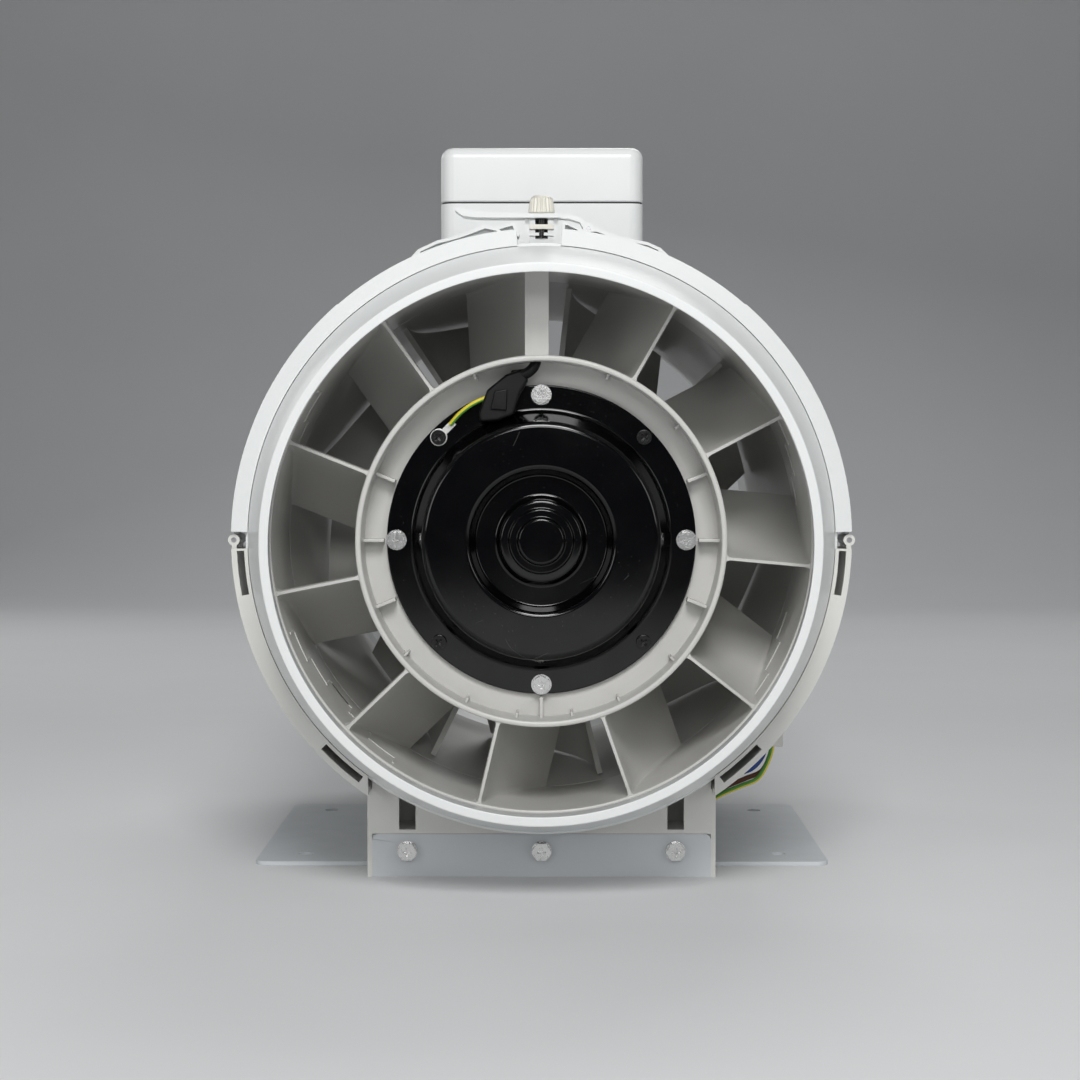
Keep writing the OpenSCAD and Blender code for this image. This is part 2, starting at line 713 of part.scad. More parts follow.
// A round cable through given points, as rings of flat sides.
function cat(p0, p1, p2, p3, t) =
    ((2 * p1) + (p2 - p0) * t + (2 * p0 - 5 * p1 + 4 * p2 - p3) * t * t
    + (3 * p1 - p0 - 3 * p2 + p3) * t * t * t) / 2;
function smooth(p, n) = [
    for (i = [0:len(p) - 2], j = [0:n - 1])
        cat(p[max(i - 1, 0)], p[i], p[i + 1], p[min(i + 2, len(p) - 1)], j / n),
    p[len(p) - 1]
];
function unit(v) = v / norm(v);
function heading(p, i) = unit(p[min(i + 1, len(p) - 1)] - p[max(i - 1, 0)]);
function ring_at(c, t, r, sides) =
    let (side = unit(cross(t, abs(t[1]) > 0.8 ? [1, 0, 0] : [0, 1, 0])), up = cross(side, t))
    [for (k = [0:sides - 1]) c + r * (cos(360 * k / sides) * side + sin(360 * k / sides) * up)];

module cable(points, d, per_span, sides = 8) {
    path = smooth(points, per_span);
    rings = len(path);
    skin = [for (i = [0:rings - 1]) each ring_at(path[i], heading(path, i), d / 2, sides)];
    walls = [for (i = [0:rings - 2], k = [0:sides - 1], half = [0, 1])
        let (a = i * sides + k, b = i * sides + (k + 1) % sides)
        half == 0 ? [a, b, b + sides] : [a, b + sides, a + sides]];
    caps = [[for (k = [sides - 1:-1:0]) k], [for (k = [0:sides - 1]) (rings - 1) * sides + k]];
    polyhedron(points = skin, faces = concat(walls, caps), convexity = 6);
}

module earth_wire() {
    z = axis_h + plate_screw_r * sin(135);
    x = plate_screw_r * cos(135);
    color([0.55, 0.75, 0.15]) cable([
        [x + 5.5, -plate_y - 1.6, z + 6], [x + 10, -plate_y - 4, z + 11], [x + 16, -plate_y - 6, z + 15.4],
        [x + 22.4, -plate_y - 6, z + 18.4]
    ], 2.2, 2);
}

module motor_cable() {
    color([0.07, 0.07, 0.07]) cable([
        [-13, -plate_y - 6, axis_h + plate_screw_r + 8.8], [-6, -plate_y - 9, axis_h + hub_r - 7.6],
        [-2, -plate_y - 8, axis_h + hub_r], [-2, -plate_y - 4, axis_h + shroud_r - 14],
        [-2, -plate_y - 2, axis_h + shroud_r - 1]
    ], motor_cable_d, 3);
}

module cable_clamp() {
    color([0.06, 0.06, 0.06]) difference() {
        translate([-24, -plate_y - 12, axis_h + plate_screw_r - 8]) cube([14, 11.5, 14]);
        translate([-19, -plate_y - 6, axis_h + plate_screw_r - 3]) rotate([0, 45, 0]) cube([4, 30, 4], center = true);
    }
}

// ---------- terminal box ----------

module box_prism(inset, z0, z1) {
    translate([0, 0, z0]) linear_extrude(z1 - z0)
        rounded_rect(box_w - 2 * inset, box_len - 2 * inset, box_edge_r - inset);
}

module box_posts(z0, z1) {
    for (sx = [-1, 1], sy = [-1, 1])
        translate([sx * (box_w / 2 - 8), sy * (box_len / 2 - 8), z0]) cylinder(h = z1 - z0, r = post_r);
}

module screw_places() {
    for (sx = [-1, 1], sy = [-1, 1]) translate([sx * (box_w / 2 - 8), sy * (box_len / 2 - 8), 0]) children();
}

module terminal_box() {
    color([0.94, 0.95, 0.95]) difference() {
        union() {
            difference() {
                box_prism(0, axis_h + casing_r * 0.85, seam_z - gasket_t);
                difference() {
                    box_prism(box_wall, axis_h, seam_z + 1);
                    bar(0, axis_h, casing_r + seat_gap + box_wall, -box_len, box_len);
                }
            }
            box_posts(axis_h + casing_r * 0.9, seam_z - gasket_t);
        }
        bar(0, axis_h, casing_r + seat_gap, -box_len, box_len);
        screw_places() translate([0, 0, seam_z - 16]) cylinder(h = 20, r = 1.7);
        translate([0, -50, axis_h]) cylinder(h = casing_r + 20, r = motor_cable_d / 2 + 1.5);
        bar(0, gland_z, gland_r + 0.1, box_len / 2 - 10, box_len / 2 + 10);
    }
}

module box_gasket() {
    color([0.2, 0.2, 0.2]) difference() {
        box_prism(0.5, seam_z - gasket_t, seam_z);
        box_prism(box_wall - 0.3, seam_z - 1, seam_z + 1);
        box_posts(seam_z - 1, seam_z + 1);
    }
}

module box_lid() {
    color([0.95, 0.96, 0.96]) difference() {
        union() {
            difference() {
                box_prism(0, seam_z, lid_top);
                box_prism(box_wall, seam_z - 1, lid_top - box_wall);
            }
            box_posts(seam_z, lid_top - 1);
        }
        screw_places() {
            translate([0, 0, seam_z - 1]) cylinder(h = lid_h + 2, r = 2);
            translate([0, 0, lid_top - 3]) cylinder(h = 4, r = 3.6);
        }
    }
}

module lid_screws() {
    color([0.8, 0.8, 0.82]) screw_places() {
        translate([0, 0, lid_top - 3]) cylinder(h = 2.2, r = 3.3);
        translate([0, 0, seam_z - 15]) cylinder(h = lid_h + 12.5, r = 1.7);
    }
}

module terminal_block() {
    z0 = axis_h + casing_r + seat_gap + box_wall;
    color([0.9, 0.9, 0.86]) difference() {
        translate([-28, -8, z0 - 3]) cube([26, 14, 15]);
        bar(0, axis_h, casing_r + seat_gap + box_wall, -30, 30);
        for (i = [0:4]) translate([-25 + 5 * i, -1, z0 + 4]) cylinder(h = 10, r = 1.6);
    }
}

module run_capacitor() {
    color([0.85, 0.85, 0.82]) translate([18, -28, axis_h + casing_r + box_wall + 13]) rotate([-90, 0, 0])
        cylinder(h = 55, r = 12);
}

module cable_gland() {
    y = box_len / 2;
    color([0.3, 0.3, 0.32]) difference() {
        union() {
            bar(0, gland_z, gland_r, y - 10, y + 1);
            hex_bar(0, gland_z, 2 * gland_r + 3, y, y + 5);
            bar(0, gland_z, gland_r, y + 4, y + 12);
        }
        bar(0, gland_z, 4, y - 11, y + 13);
    }
    color([0.3, 0.3, 0.32]) difference() {
        hex_bar(0, gland_z, 2 * gland_r + 3, y - box_wall - 5, y - box_wall);
        bar(0, gland_z, gland_r - 0.5, y - 20, y);
    }
}

module gland_nut() {
    y = box_len / 2;
    color([0.3, 0.3, 0.32]) difference() {
        union() {
            hex_bar(0, gland_z, 2 * gland_r + 4, y + 5, y + 13);
            bar(0, gland_z, gland_r, y + 13, y + 16);
        }
        bar(0, gland_z, gland_r + pin_fit, y + 4, y + 12);
        bar(0, gland_z, 4, y, y + 17);
    }
}

// ---------- clamp arms ----------

// A point at x on a circle that is h larger than the clamp ring's channel.
function above_ring(x, h) = [x, axis_h + sqrt(pow(channel_r + h, 2) - x * x)];

module block_outline(points) {
    difference() {
        polygon(points);
        translate([0, axis_h]) circle(channel_r);
    }
}

module right_outline(t) {
    block_outline([
        above_ring(9.6 + t, 6.7 - t), above_ring(10.8 + t, 6.8 - t), above_ring(19, 4.2 - t),
        above_ring(25.6, 6.3 - 1.6 * t), above_ring(30.5, 5 - 1.2 * t), above_ring(35.6, 4.3 - t),
        above_ring(41, 4.5 - t), above_ring(49.5, 5.5 - t), above_ring(55.6 - t, 5.2 - t),
        above_ring(59.4 - 2 * t, 3.4 - t), above_ring(59.4 - 2 * t, -4), above_ring(9.6 + t, -4)
    ]);
}

module left_outline(t) {
    block_outline([
        above_ring(-60.6 + 2 * t, 3.6 - t), above_ring(-57.6 + t, 5.4 - t), above_ring(-48.7, 6 - t),
        above_ring(-39.1, 5.4 - t), above_ring(-33, 6 - t), above_ring(-26.4, 8 - 1.6 * t),
        above_ring(-21.8, 5.4 - t), above_ring(-12.2 - t, 6.7 - t), above_ring(-10.3 - t, 1.2),
        above_ring(-11.4 - t, -4), above_ring(-60.6 + 2 * t, -4)
    ]);
}

module arm_ring(a1) {
    turned_part(arm_a0, a1) channel_profile(ring_r + 0.9);
    turned_part(arm_a0 + 0.1, 49) translate([ring_r - 1, -rim_y + 0.4])
        square([rim_r - ring_r + 1, rim_y - clamp_in - 0.8]);
    bar(hinge_x, axis_h, knuckle_r, arm_knuckle_y, arm_knuckle_y + arm_knuckle_w);
    translate([channel_r, arm_knuckle_y, axis_h]) cube([ring_wall, arm_knuckle_w, arm_gap + 0.6]);
}

module arm_bore() {
    bar(hinge_x, axis_h, hinge_pin_r + pin_fit, -clamp_out, -clamp_in);
}

module right_arm() {
    color([0.95, 0.96, 0.95]) difference() {
        union() {
            arm_ring(90 - asin(9.6 / channel_r));
            slab(block_y0, block_y1) right_outline(0);
            bar(pivot_x, pivot_z, 2.6, block_y0, block_y1);
        }
        slab(block_y0 - cut, block_y0 + 4) intersection() {
            right_outline(1.4);
            translate([9, 0]) square([60, 2 * axis_h + channel_r]);
        }
        slab(latch_y0 - 0.3, latch_y1 + 0.3) translate([pivot_x, pivot_z]) {
            circle(barrel_r + 0.5);
            translate([-barrel_r - 2.5, 0]) square([2 * barrel_r + 3, 8]);
            translate([0, -1.3]) square([barrel_r + 5, 8]);
        }
        bar(pivot_x, pivot_z, lever_pin_r, block_y0 - 1, block_y1 + 1);
        arm_bore();
    }
}

module left_arm() {
    color([0.95, 0.96, 0.95]) difference() {
        union() {
            mirror([1, 0, 0]) arm_ring(90 - asin(11.4 / channel_r));
            slab(block_y0, block_y1) left_outline(0);
        }
        slab(block_y0 - cut, block_y0 + 4) difference() {
            left_outline(1.4);
            polygon([above_ring(-27.6, 9), above_ring(-25.6, 9), above_ring(-13, -1), above_ring(-15, -1)]);
        }
        mirror([1, 0, 0]) arm_bore();
    }
}

// ---------- latch ----------

module lever() {
    z = plate_under_z;
    color([0.94, 0.94, 0.93]) difference() {
        union() {
            slab(latch_y0 - 2.4, latch_y1 + 2.4) polygon([
                [9, z], [9, z + lever_t], [-5, z + lever_t], [-24, z + 2.6], [-34, z + 3.6], [-40, z + 5],
                [-40.4, z + 3.4], [-37, z + 1], [-32, z + 0.2], [-24, z]
            ]);
            slab(latch_y0, latch_y1) polygon([
                [8, z], [8, z + lever_t], [13, z + 1.7], [18, z + 0.2], [pivot_x + 0.6, pivot_z + barrel_r],
                [pivot_x - barrel_r, pivot_z], [18, z - 1.9], [13, z - 0.4]
            ]);
            bar(pivot_x, pivot_z, barrel_r, latch_y0, latch_y1);
            for (s = [-1, 1]) translate([s * (saddle_x0 + saddle_x1) / 2, latch_y0 + 1.6 + 3, z - 6.4])
                cube([saddle_x1 - saddle_x0, 6, 13.2], center = true);
            translate([-saddle_x0, latch_y0 + 1.6, z - 8]) cube([2 * saddle_x0, 6, 1.4]);
        }
        translate([0, latch_y0 + 4.6, z - 10]) cylinder(h = 20, r = screw_r + 0.2);
        bar(pivot_x, pivot_z, lever_pin_r + pin_fit, block_y0, block_y1);
    }
}

module lever_pin() {
    color([0.8, 0.8, 0.82]) bar(pivot_x, pivot_z, lever_pin_r, block_y0, block_y1);
}

module nut_bar() {
    color([0.9, 0.9, 0.88]) difference() {
        translate([-saddle_x0, latch_y0 + 0.6, plate_under_z - 5]) cube([2 * saddle_x0, 8, 2.2]);
        translate([0, latch_y0 + 4.6, plate_under_z - 6]) cylinder(h = 5, r = screw_r + pin_fit);
    }
}

module clamp_screw() {
    color([0.08, 0.08, 0.08]) translate([0, latch_y0 + 4.6, plate_under_z - 9.2])
        cylinder(h = 9.2 + lever_t + 5, r = screw_r);
}

module clamp_knob() {
    z0 = plate_under_z + lever_t + 0.3;
    color([0.9, 0.89, 0.85]) translate([0, latch_y0 + 4.6, z0]) difference() {
        union() {
            cylinder(h = knob_h - 1, r = knob_r - 0.4);
            translate([0, 0, knob_h - 1]) cylinder(h = 1, r = knob_r - 1.3);
            for (k = [0:17]) rotate([0, 0, k * 20]) translate([knob_r - 0.6, 0, 0.4])
                cylinder(h = knob_h - 1.8, r = 0.55);
        }
        translate([0, 0, -1]) cylinder(h = 5.7, r = screw_r);
    }
}

// ---------- leads ----------

module lead_clip() {
    color([0.93, 0.93, 0.91]) difference() {
        translate([107, -clamp_in, 60]) cube([8.5, 20, 7]);
        bar(0, axis_h, channel_r + 1, -clamp_in - 5, -clamp_in + 25);
    }
}

module ferrule(route) {
    p = route[len(route) - 1];
    color([0.85, 0.85, 0.83]) translate(p) rotate([-90, 0, 0]) cylinder(h = ferrule_len, r = ferrule_r);
}

mounting_bracket();
bracket_bolts();
cradle();  // front_cradle
rear() cradle();  // rear_cradle
spigot();  // front_spigot
rear() spigot();  // rear_spigot
seal();  // front_seal
rear() seal();  // rear_seal
fan_casing();
inlet_cone();
guide_vane_housing();
impeller();
impeller_cap();
impeller_nut();
motor_shaft();
rotor_core();
bearing(-bearing_y - bearing_w);  // front_bearing
bearing(-can_end);  // rear_bearing
stator_core();
stator_windings();
motor_can();
motor_end_shield();
motor_screws();
shield_screws();
earth_tag();
earth_wire();
motor_cable();
cable_clamp();
terminal_box();
box_gasket();
box_lid();
lid_screws();
terminal_block();
run_capacitor();
cable_gland();
gland_nut();
right_arm();  // front_right_arm
left_arm();  // front_left_arm
rear() right_arm();  // rear_right_arm
rear() left_arm();  // rear_left_arm
hinge_pins();  // front_hinge_pins
rear() hinge_pins();  // rear_hinge_pins
lever();  // front_lever
rear() lever();  // rear_lever
lever_pin();  // front_lever_pin
rear() lever_pin();  // rear_lever_pin
nut_bar();  // front_nut_bar
rear() nut_bar();  // rear_nut_bar
clamp_screw();  // front_screw
rear() clamp_screw();  // rear_screw
clamp_knob();  // front_knob
rear() clamp_knob();  // rear_knob
lead_clip();
color([0.6, 0.75, 0.15]) cable(earth_route, lead_d, 2);  // earth_lead
color([0.35, 0.18, 0.1]) cable(brown_route, lead_d, 2);  // brown_lead
color([0.15, 0.25, 0.6]) cable(blue_route, lead_d, 2);  // blue_lead
ferrule(earth_route);  // earth_ferrule
ferrule(brown_route);  // brown_ferrule
ferrule(blue_route);  // blue_ferrule
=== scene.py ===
"""An inline duct fan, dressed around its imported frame: rounded shells, wiring, finishes and a plain studio.

Everything is in metres in the frame's own axes: +Z up, +X to the right seen from the outlet, and the outlet
towards -Y. Angles run from +X towards +Z. Each class builds one sub-assembly; each finish has a small class.
"""
import json
import logging
import math
from dataclasses import dataclass, field
from enum import Enum

import bmesh
import bpy
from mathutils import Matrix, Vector

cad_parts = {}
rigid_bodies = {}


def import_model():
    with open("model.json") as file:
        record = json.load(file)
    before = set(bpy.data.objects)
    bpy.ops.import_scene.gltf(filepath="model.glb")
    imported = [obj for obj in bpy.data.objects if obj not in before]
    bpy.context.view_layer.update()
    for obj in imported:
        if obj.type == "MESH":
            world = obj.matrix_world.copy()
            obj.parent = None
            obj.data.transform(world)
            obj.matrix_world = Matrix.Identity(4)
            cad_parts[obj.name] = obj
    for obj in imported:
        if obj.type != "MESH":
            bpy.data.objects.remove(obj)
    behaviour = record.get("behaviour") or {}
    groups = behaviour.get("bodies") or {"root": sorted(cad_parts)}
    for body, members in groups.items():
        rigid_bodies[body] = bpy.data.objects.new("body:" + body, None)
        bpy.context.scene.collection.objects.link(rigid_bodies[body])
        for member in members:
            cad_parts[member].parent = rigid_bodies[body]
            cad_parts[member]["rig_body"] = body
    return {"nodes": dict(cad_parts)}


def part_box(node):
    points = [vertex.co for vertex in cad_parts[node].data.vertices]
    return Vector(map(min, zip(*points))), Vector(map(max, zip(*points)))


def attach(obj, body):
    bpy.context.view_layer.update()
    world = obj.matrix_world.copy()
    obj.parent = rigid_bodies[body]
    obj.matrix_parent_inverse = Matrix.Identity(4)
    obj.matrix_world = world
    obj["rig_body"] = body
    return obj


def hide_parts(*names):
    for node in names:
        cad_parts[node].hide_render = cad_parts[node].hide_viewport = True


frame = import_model()

LOG = logging.getLogger("duct_fan")
Point2 = tuple[float, float]
Point3 = tuple[float, float, float]
Corner = tuple[float, float, float]
Colour = tuple[float, float, float]
Piece = bpy.types.Object
Socket = bpy.types.NodeSocket
Supply = Socket | float | Point3

WIRE_MAP = "round_and_along"
FIXED = "fixed_body"


class End(Enum):
    """The two ends of the fan; the value is the sign of Y there."""

    FRONT = -1
    REAR = 1

    @property
    def label(self) -> str:
        """The word that the end's node names start with."""
        return self.name.lower()

    def body(self, part: str) -> str:
        """The name of one of this end's moving bodies."""
        return f"{self.label}_{part}"


# ---------- geometry helpers ----------


def place_on_axis(r: float, angle: float, y: float) -> Vector:
    """A point round the duct's axis.

    Args:
        r: Distance from the axis.
        angle: Angle from +X towards +Z, in radians.
        y: Place along the duct.

    Returns:
        The point in the frame.
    """
    return Vector((r * math.cos(angle), y, AXIS_Z + r * math.sin(angle)))


def new_object(name: str, vertices: list, faces: list) -> Piece:
    """Makes a mesh object with outward normals.

    Args:
        name: The piece's name.
        vertices: Its points.
        faces: Its faces, as lists of point indices.

    Returns:
        The new object, linked to the scene.
    """
    mesh = bpy.data.meshes.new(name)
    mesh.from_pydata([tuple(v) for v in vertices], [], faces)
    work = bmesh.new()
    work.from_mesh(mesh)
    bmesh.ops.remove_doubles(work, verts=work.verts, dist=1e-7)
    bmesh.ops.recalc_face_normals(work, faces=work.faces)
    work.to_mesh(mesh)
    work.free()
    piece = bpy.data.objects.new(name, mesh)
    bpy.context.scene.collection.objects.link(piece)
    return piece


def smooth_shade(piece: Piece, sharp_angle: float = 32.0) -> None:
    """Shades a piece smooth, with edges above an angle left sharp.

    Args:
        piece: The mesh object.
        sharp_angle: The angle in degrees.
    """
    stale = piece.data.attributes.get("custom_normal")
    if stale:
        piece.data.attributes.remove(stale)
    piece.data.shade_smooth()
    piece.data.set_sharp_from_angle(angle=math.radians(sharp_angle))
    flatten = piece.modifiers.new("flat_faces_stay_flat", "WEIGHTED_NORMAL")
    flatten.keep_sharp = True
    apply_modifiers(piece)


def arc_corner(before: Vector, corner: Vector, after: Vector, radius: float, steps: int) -> list[Vector]:
    """Rounds one corner of an outline.

    Args:
        before: The point before the corner.
        corner: The corner.
        after: The point after it.
        radius: Radius of the arc, limited by the sides beside it.
        steps: Spans in the arc.

    Returns:
        The points of the arc, or the corner itself where it is left sharp.
    """
    a = before - corner
    b = after - corner
    if radius <= 0 or a.length < 1e-9 or b.length < 1e-9:
        return [corner]
    turn = a.angle(b)
    if turn > math.pi - 0.02:
        return [corner]
    reach = min(radius / math.tan(turn / 2), a.length * 0.49, b.length * 0.49)
    start = corner + a.normalized() * reach
    end = corner + b.normalized() * reach
    points = []
    for i in range(steps + 1):
        t = i / steps
        points.append(start * (1 - t) ** 2 + corner * 2 * t * (1 - t) + end * t * t)
    return points


def rounded_outline(corners: list[Corner], closed: bool = True, steps: int = 4) -> list[Point2]:
    """An outline whose corners are rounded.

    Args:
        corners: Each corner as x, y and its radius.
        closed: Whether the outline joins its own start.
        steps: Spans in each arc.

    Returns:
        The outline's points.
    """
    places = [Vector((x, y)) for x, y, _ in corners]
    count = len(places)
    points: list[Point2] = []
    for i, (_, _, radius) in enumerate(corners):
        if not closed and i in (0, count - 1):
            points.append(tuple(places[i]))
            continue
        arc = arc_corner(places[i - 1], places[i], places[(i + 1) % count], radius, steps)
        points += [tuple(p) for p in arc]
    return points


def lathe(name: str, profile: list[Point2], segments: int = 192, closed: bool = True) -> Piece:
    """Turns a profile about the duct's axis.

    Args:
        name: The piece's name.
        profile: Points of radius and Y.
        segments: Spans round the axis.
        closed: Whether the profile joins its own start.

    Returns:
        The turned piece.
    """
    count = len(profile)
    vertices = []
    for k in range(segments):
        angle = 2 * math.pi * k / segments
        vertices += [place_on_axis(r, angle, y) for r, y in profile]
    faces = []
    spans = count if closed else count - 1
    for k in range(segments):
        here = k * count
        there = ((k + 1) % segments) * count
        for i in range(spans):
            j = (i + 1) % count
            faces.append([here + i, here + j, there + j, there + i])
    piece = new_object(name, vertices, faces)
    smooth_shade(piece)
    return piece


def rings_to_mesh(name: str, rings: list[list[Vector]], caps: bool = True) -> Piece:
    """Skins closed rings that have the same number of points.

    Args:
        name: The piece's name.
        rings: The rings, in order.
        caps: Whether the two ends are closed.

    Returns:
        The skinned piece.
    """
    size = len(rings[0])
    vertices = [p for ring in rings for p in ring]
    faces = []
    for i in range(len(rings) - 1):
        for k in range(size):
            here = i * size + k
            there = i * size + (k + 1) % size
            faces.append([here, there, there + size, here + size])
    if caps:
        faces.append(list(range(size - 1, -1, -1)))
        faces.append([(len(rings) - 1) * size + k for k in range(size)])
    return new_object(name, vertices, faces)


def extrude_outline(name: str, outline: list[Point2], y0: float, y1: float, edge: float) -> Piece:
    """A plate with a rounded rim, drawn in X and Z and filled from y0 to y1.

    Args:
        name: The piece's name.
        outline: The plate's outline in X and Z.
        y0: Its near face.
        y1: Its far face.
        edge: Radius of its edges.

    Returns:
        The plate.
    """
    near = [Vector((x, y0, z)) for x, z in outline]
    far = [Vector((x, y1, z)) for x, z in outline]
    piece = rings_to_mesh(name, [near, far])
    bevel(piece, edge, 3, 50)
    smooth_shade(piece)
    return piece


def bevel(piece: Piece, width: float, segments: int, limit: float) -> None:
    """Rounds a piece's edges in its mesh.

    Args:
        piece: The mesh object.
        width: Width of the rounding.
        segments: Spans across it.
        limit: Only edges sharper than this angle, in degrees.
    """
    rounding = piece.modifiers.new("rounding", "BEVEL")
    rounding.width = width
    rounding.segments = segments
    rounding.limit_method = "ANGLE"
    rounding.angle_limit = math.radians(limit)
    rounding.use_clamp_overlap = True
    rounding.harden_normals = False
    apply_modifiers(piece)


def apply_modifiers(piece: Piece) -> None:
    """Bakes a piece's modifiers into its mesh.

    Args:
        piece: The mesh object.
    """
    bpy.context.view_layer.update()
    graph = bpy.context.evaluated_depsgraph_get()
    mesh = bpy.data.meshes.new_from_object(piece.evaluated_get(graph))
    piece.modifiers.clear()
    piece.data = mesh


def cut_away(piece: Piece, cutters: list[Piece]) -> None:
    """Cuts other meshes out of a piece and removes them.

    Args:
        piece: The mesh object to cut.
        cutters: The meshes to take away.
    """
    for cutter in cutters:
        hole = piece.modifiers.new("hole", "BOOLEAN")
        hole.operation = "DIFFERENCE"
        hole.solver = "EXACT"
        hole.object = cutter
    apply_modifiers(piece)
    for cutter in cutters:
        bpy.data.objects.remove(cutter)


def join(pieces: list[Piece]) -> Piece:
    """Joins pieces into the first of them.

    Args:
        pieces: The mesh objects.

    Returns:
        The first object, which now holds every mesh.
    """
    work = bmesh.new()
    for piece in pieces:
        work.from_mesh(piece.data)
    work.to_mesh(pieces[0].data)
    work.free()
    for piece in pieces[1:]:
        bpy.data.objects.remove(piece)
    smooth_shade(pieces[0])
    return pieces[0]


def catmull(points: list[Point3], per_span: int) -> list[Vector]:
    """A smooth line through chosen points.

    Args:
        points: The points that it passes through.
        per_span: Steps between two of them.

    Returns:
        The points of the smooth line.
    """
    chosen = [Vector(p) for p in points]
    last = len(chosen) - 1
    line = []
    for i in range(last):
        p0, p1 = chosen[max(i - 1, 0)], chosen[i]
        p2, p3 = chosen[i + 1], chosen[min(i + 2, last)]
        for j in range(per_span):
            t = j / per_span
            line.append((p1 * 2 + (p2 - p0) * t + (p0 * 2 - p1 * 5 + p2 * 4 - p3) * t * t
                         + (p1 * 3 - p0 - p2 * 3 + p3) * t ** 3) / 2)
    line.append(chosen[-1])
    return line


def tube_along(name: str, line: list[Vector], radius: float, sides: int = 16) -> Piece:
    """A round tube along a line, with a UV map that runs round it and along it.

    Args:
        name: The piece's name.
        line: The tube's centreline.
        radius: The tube's radius.
        sides: Points in each ring.

    Returns:
        The tube.
    """
    last = len(line) - 1
    side = Vector((1, 0, 0))
    rings = []
    for i, centre in enumerate(line):
        along = (line[min(i + 1, last)] - line[max(i - 1, 0)]).normalized()
        side = (side - along * side.dot(along)).normalized()
        up = along.cross(side)
        turns = [2 * math.pi * k / sides for k in range(sides)]
        rings.append([centre + (side * math.cos(a) + up * math.sin(a)) * radius for a in turns])
    piece = rings_to_mesh(name, rings)
    layer = piece.data.uv_layers.new(name=WIRE_MAP)
    for face in piece.data.polygons:
        corners = [divmod(piece.data.loops[loop].vertex_index, sides) for loop in face.loop_indices]
        wraps = len(corners) == 4 and any(turn == sides - 1 for _, turn in corners)
        for loop, (ring, turn) in zip(face.loop_indices, corners):
            around = sides if wraps and turn == 0 else turn
            layer.data[loop].uv = (around / sides, ring / last)
    smooth_shade(piece, 60)
    return piece


def rounded_copy(node: str, width: float, segments: int = 2, limit: float = 34.0) -> Piece:
    """A copy of a frame node whose edges are rounded.

    Args:
        node: The frame node's name.
        width: Width of the rounding.
        segments: Spans across it.
        limit: Only edges sharper than this angle, in degrees.

    Returns:
        The copy, not yet dressed.
    """
    work = bmesh.new()
    work.from_mesh(frame["nodes"][node].data)
    bmesh.ops.remove_doubles(work, verts=work.verts, dist=2e-6)
    bmesh.ops.dissolve_degenerate(work, dist=1e-6, edges=work.edges)
    bmesh.ops.dissolve_limit(work, angle_limit=math.radians(0.3), verts=work.verts, edges=work.edges)
    layer = work.loops.layers.uv.get("UVMap")
    if layer:
        work.loops.layers.uv.remove(layer)
    mesh = bpy.data.meshes.new(f"{node}_skin")
    work.to_mesh(mesh)
    work.free()
    piece = bpy.data.objects.new(f"{node}_skin", mesh)
    bpy.context.scene.collection.objects.link(piece)
    if width > 0:
        bevel(piece, width, segments, limit)
    smooth_shade(piece)
    return piece


LOW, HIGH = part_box("motor_shaft")
AXIS_Z = (LOW.z + HIGH.z) / 2


# ---------- finishes ----------


class NodeBench:
    """A material's node tree, with short ways to add the nodes that the finishes share."""

    def __init__(self, material: bpy.types.Material, stretch: Point3) -> None:
        """Opens a material's node tree.

        Args:
            material: The material, which uses nodes.
            stretch: How its textures are scaled along each axis.
        """
        self.nodes = material.node_tree.nodes
        self.links = material.node_tree.links
        place = self.add("TexCoord", {}).outputs["Object"]
        self.vector = self.add("Mapping", {"Vector": place, "Scale": stretch}).outputs["Vector"]

    def feed(self, value: Supply, socket: Socket) -> None:
        """Fills an input.

        Args:
            value: An output to link to it, or a constant.
            socket: The input.
        """
        if isinstance(value, Socket):
            self.links.new(value, socket)
        else:
            socket.default_value = value

    def add(self, kind: str, inputs: dict[str, Supply]) -> bpy.types.Node:
        """Adds a node.

        Args:
            kind: The shader node's type.
            inputs: What its named inputs get.

        Returns:
            The node.
        """
        node = self.nodes.new(f"ShaderNode{kind}")
        for name, value in inputs.items():
            self.feed(value, node.inputs[name])
        return node

    def math(self, operation: str, first: Supply, second: Supply = 0.0) -> Socket:
        """Adds a calculation.

        Args:
            operation: Its name.
            first: The first value.
            second: The second value, where it takes two.

        Returns:
            The result.
        """
        node = self.nodes.new("ShaderNodeMath")
        node.operation = operation
        self.feed(first, node.inputs[0])
        self.feed(second, node.inputs[1])
        return node.outputs[0]

    def noise(self, scale: float, detail: float) -> Socket:
        """Adds a noise texture and returns its value."""
        return self.add("TexNoise", {"Vector": self.vector, "Scale": scale, "Detail": detail}).outputs["Fac"]

    def bump(self, height: Socket, strength: float, distance: float) -> Socket:
        """Adds a bump and returns its normal."""
        inputs = {"Height": height, "Strength": strength, "Distance": distance}
        return self.add("Bump", inputs).outputs["Normal"]

    def ramp(self, value: Socket, low: Colour, high: Colour, start: float = 0.35,
             end: float = 0.65) -> Socket:
        """Adds a ramp between two colours.

        Args:
            value: What runs along the ramp.
            low: The colour up to its start.
            high: The colour from its end.
            start: Where the change starts.
            end: Where the change ends.

        Returns:
            The ramp's colour.
        """
        ramp = self.add("ValToRGB", {"Fac": value})
        first, last = ramp.color_ramp.elements
        first.position, last.position = start, end
        first.color = (*low, 1)
        last.color = (*high, 1)
        return ramp.outputs["Color"]


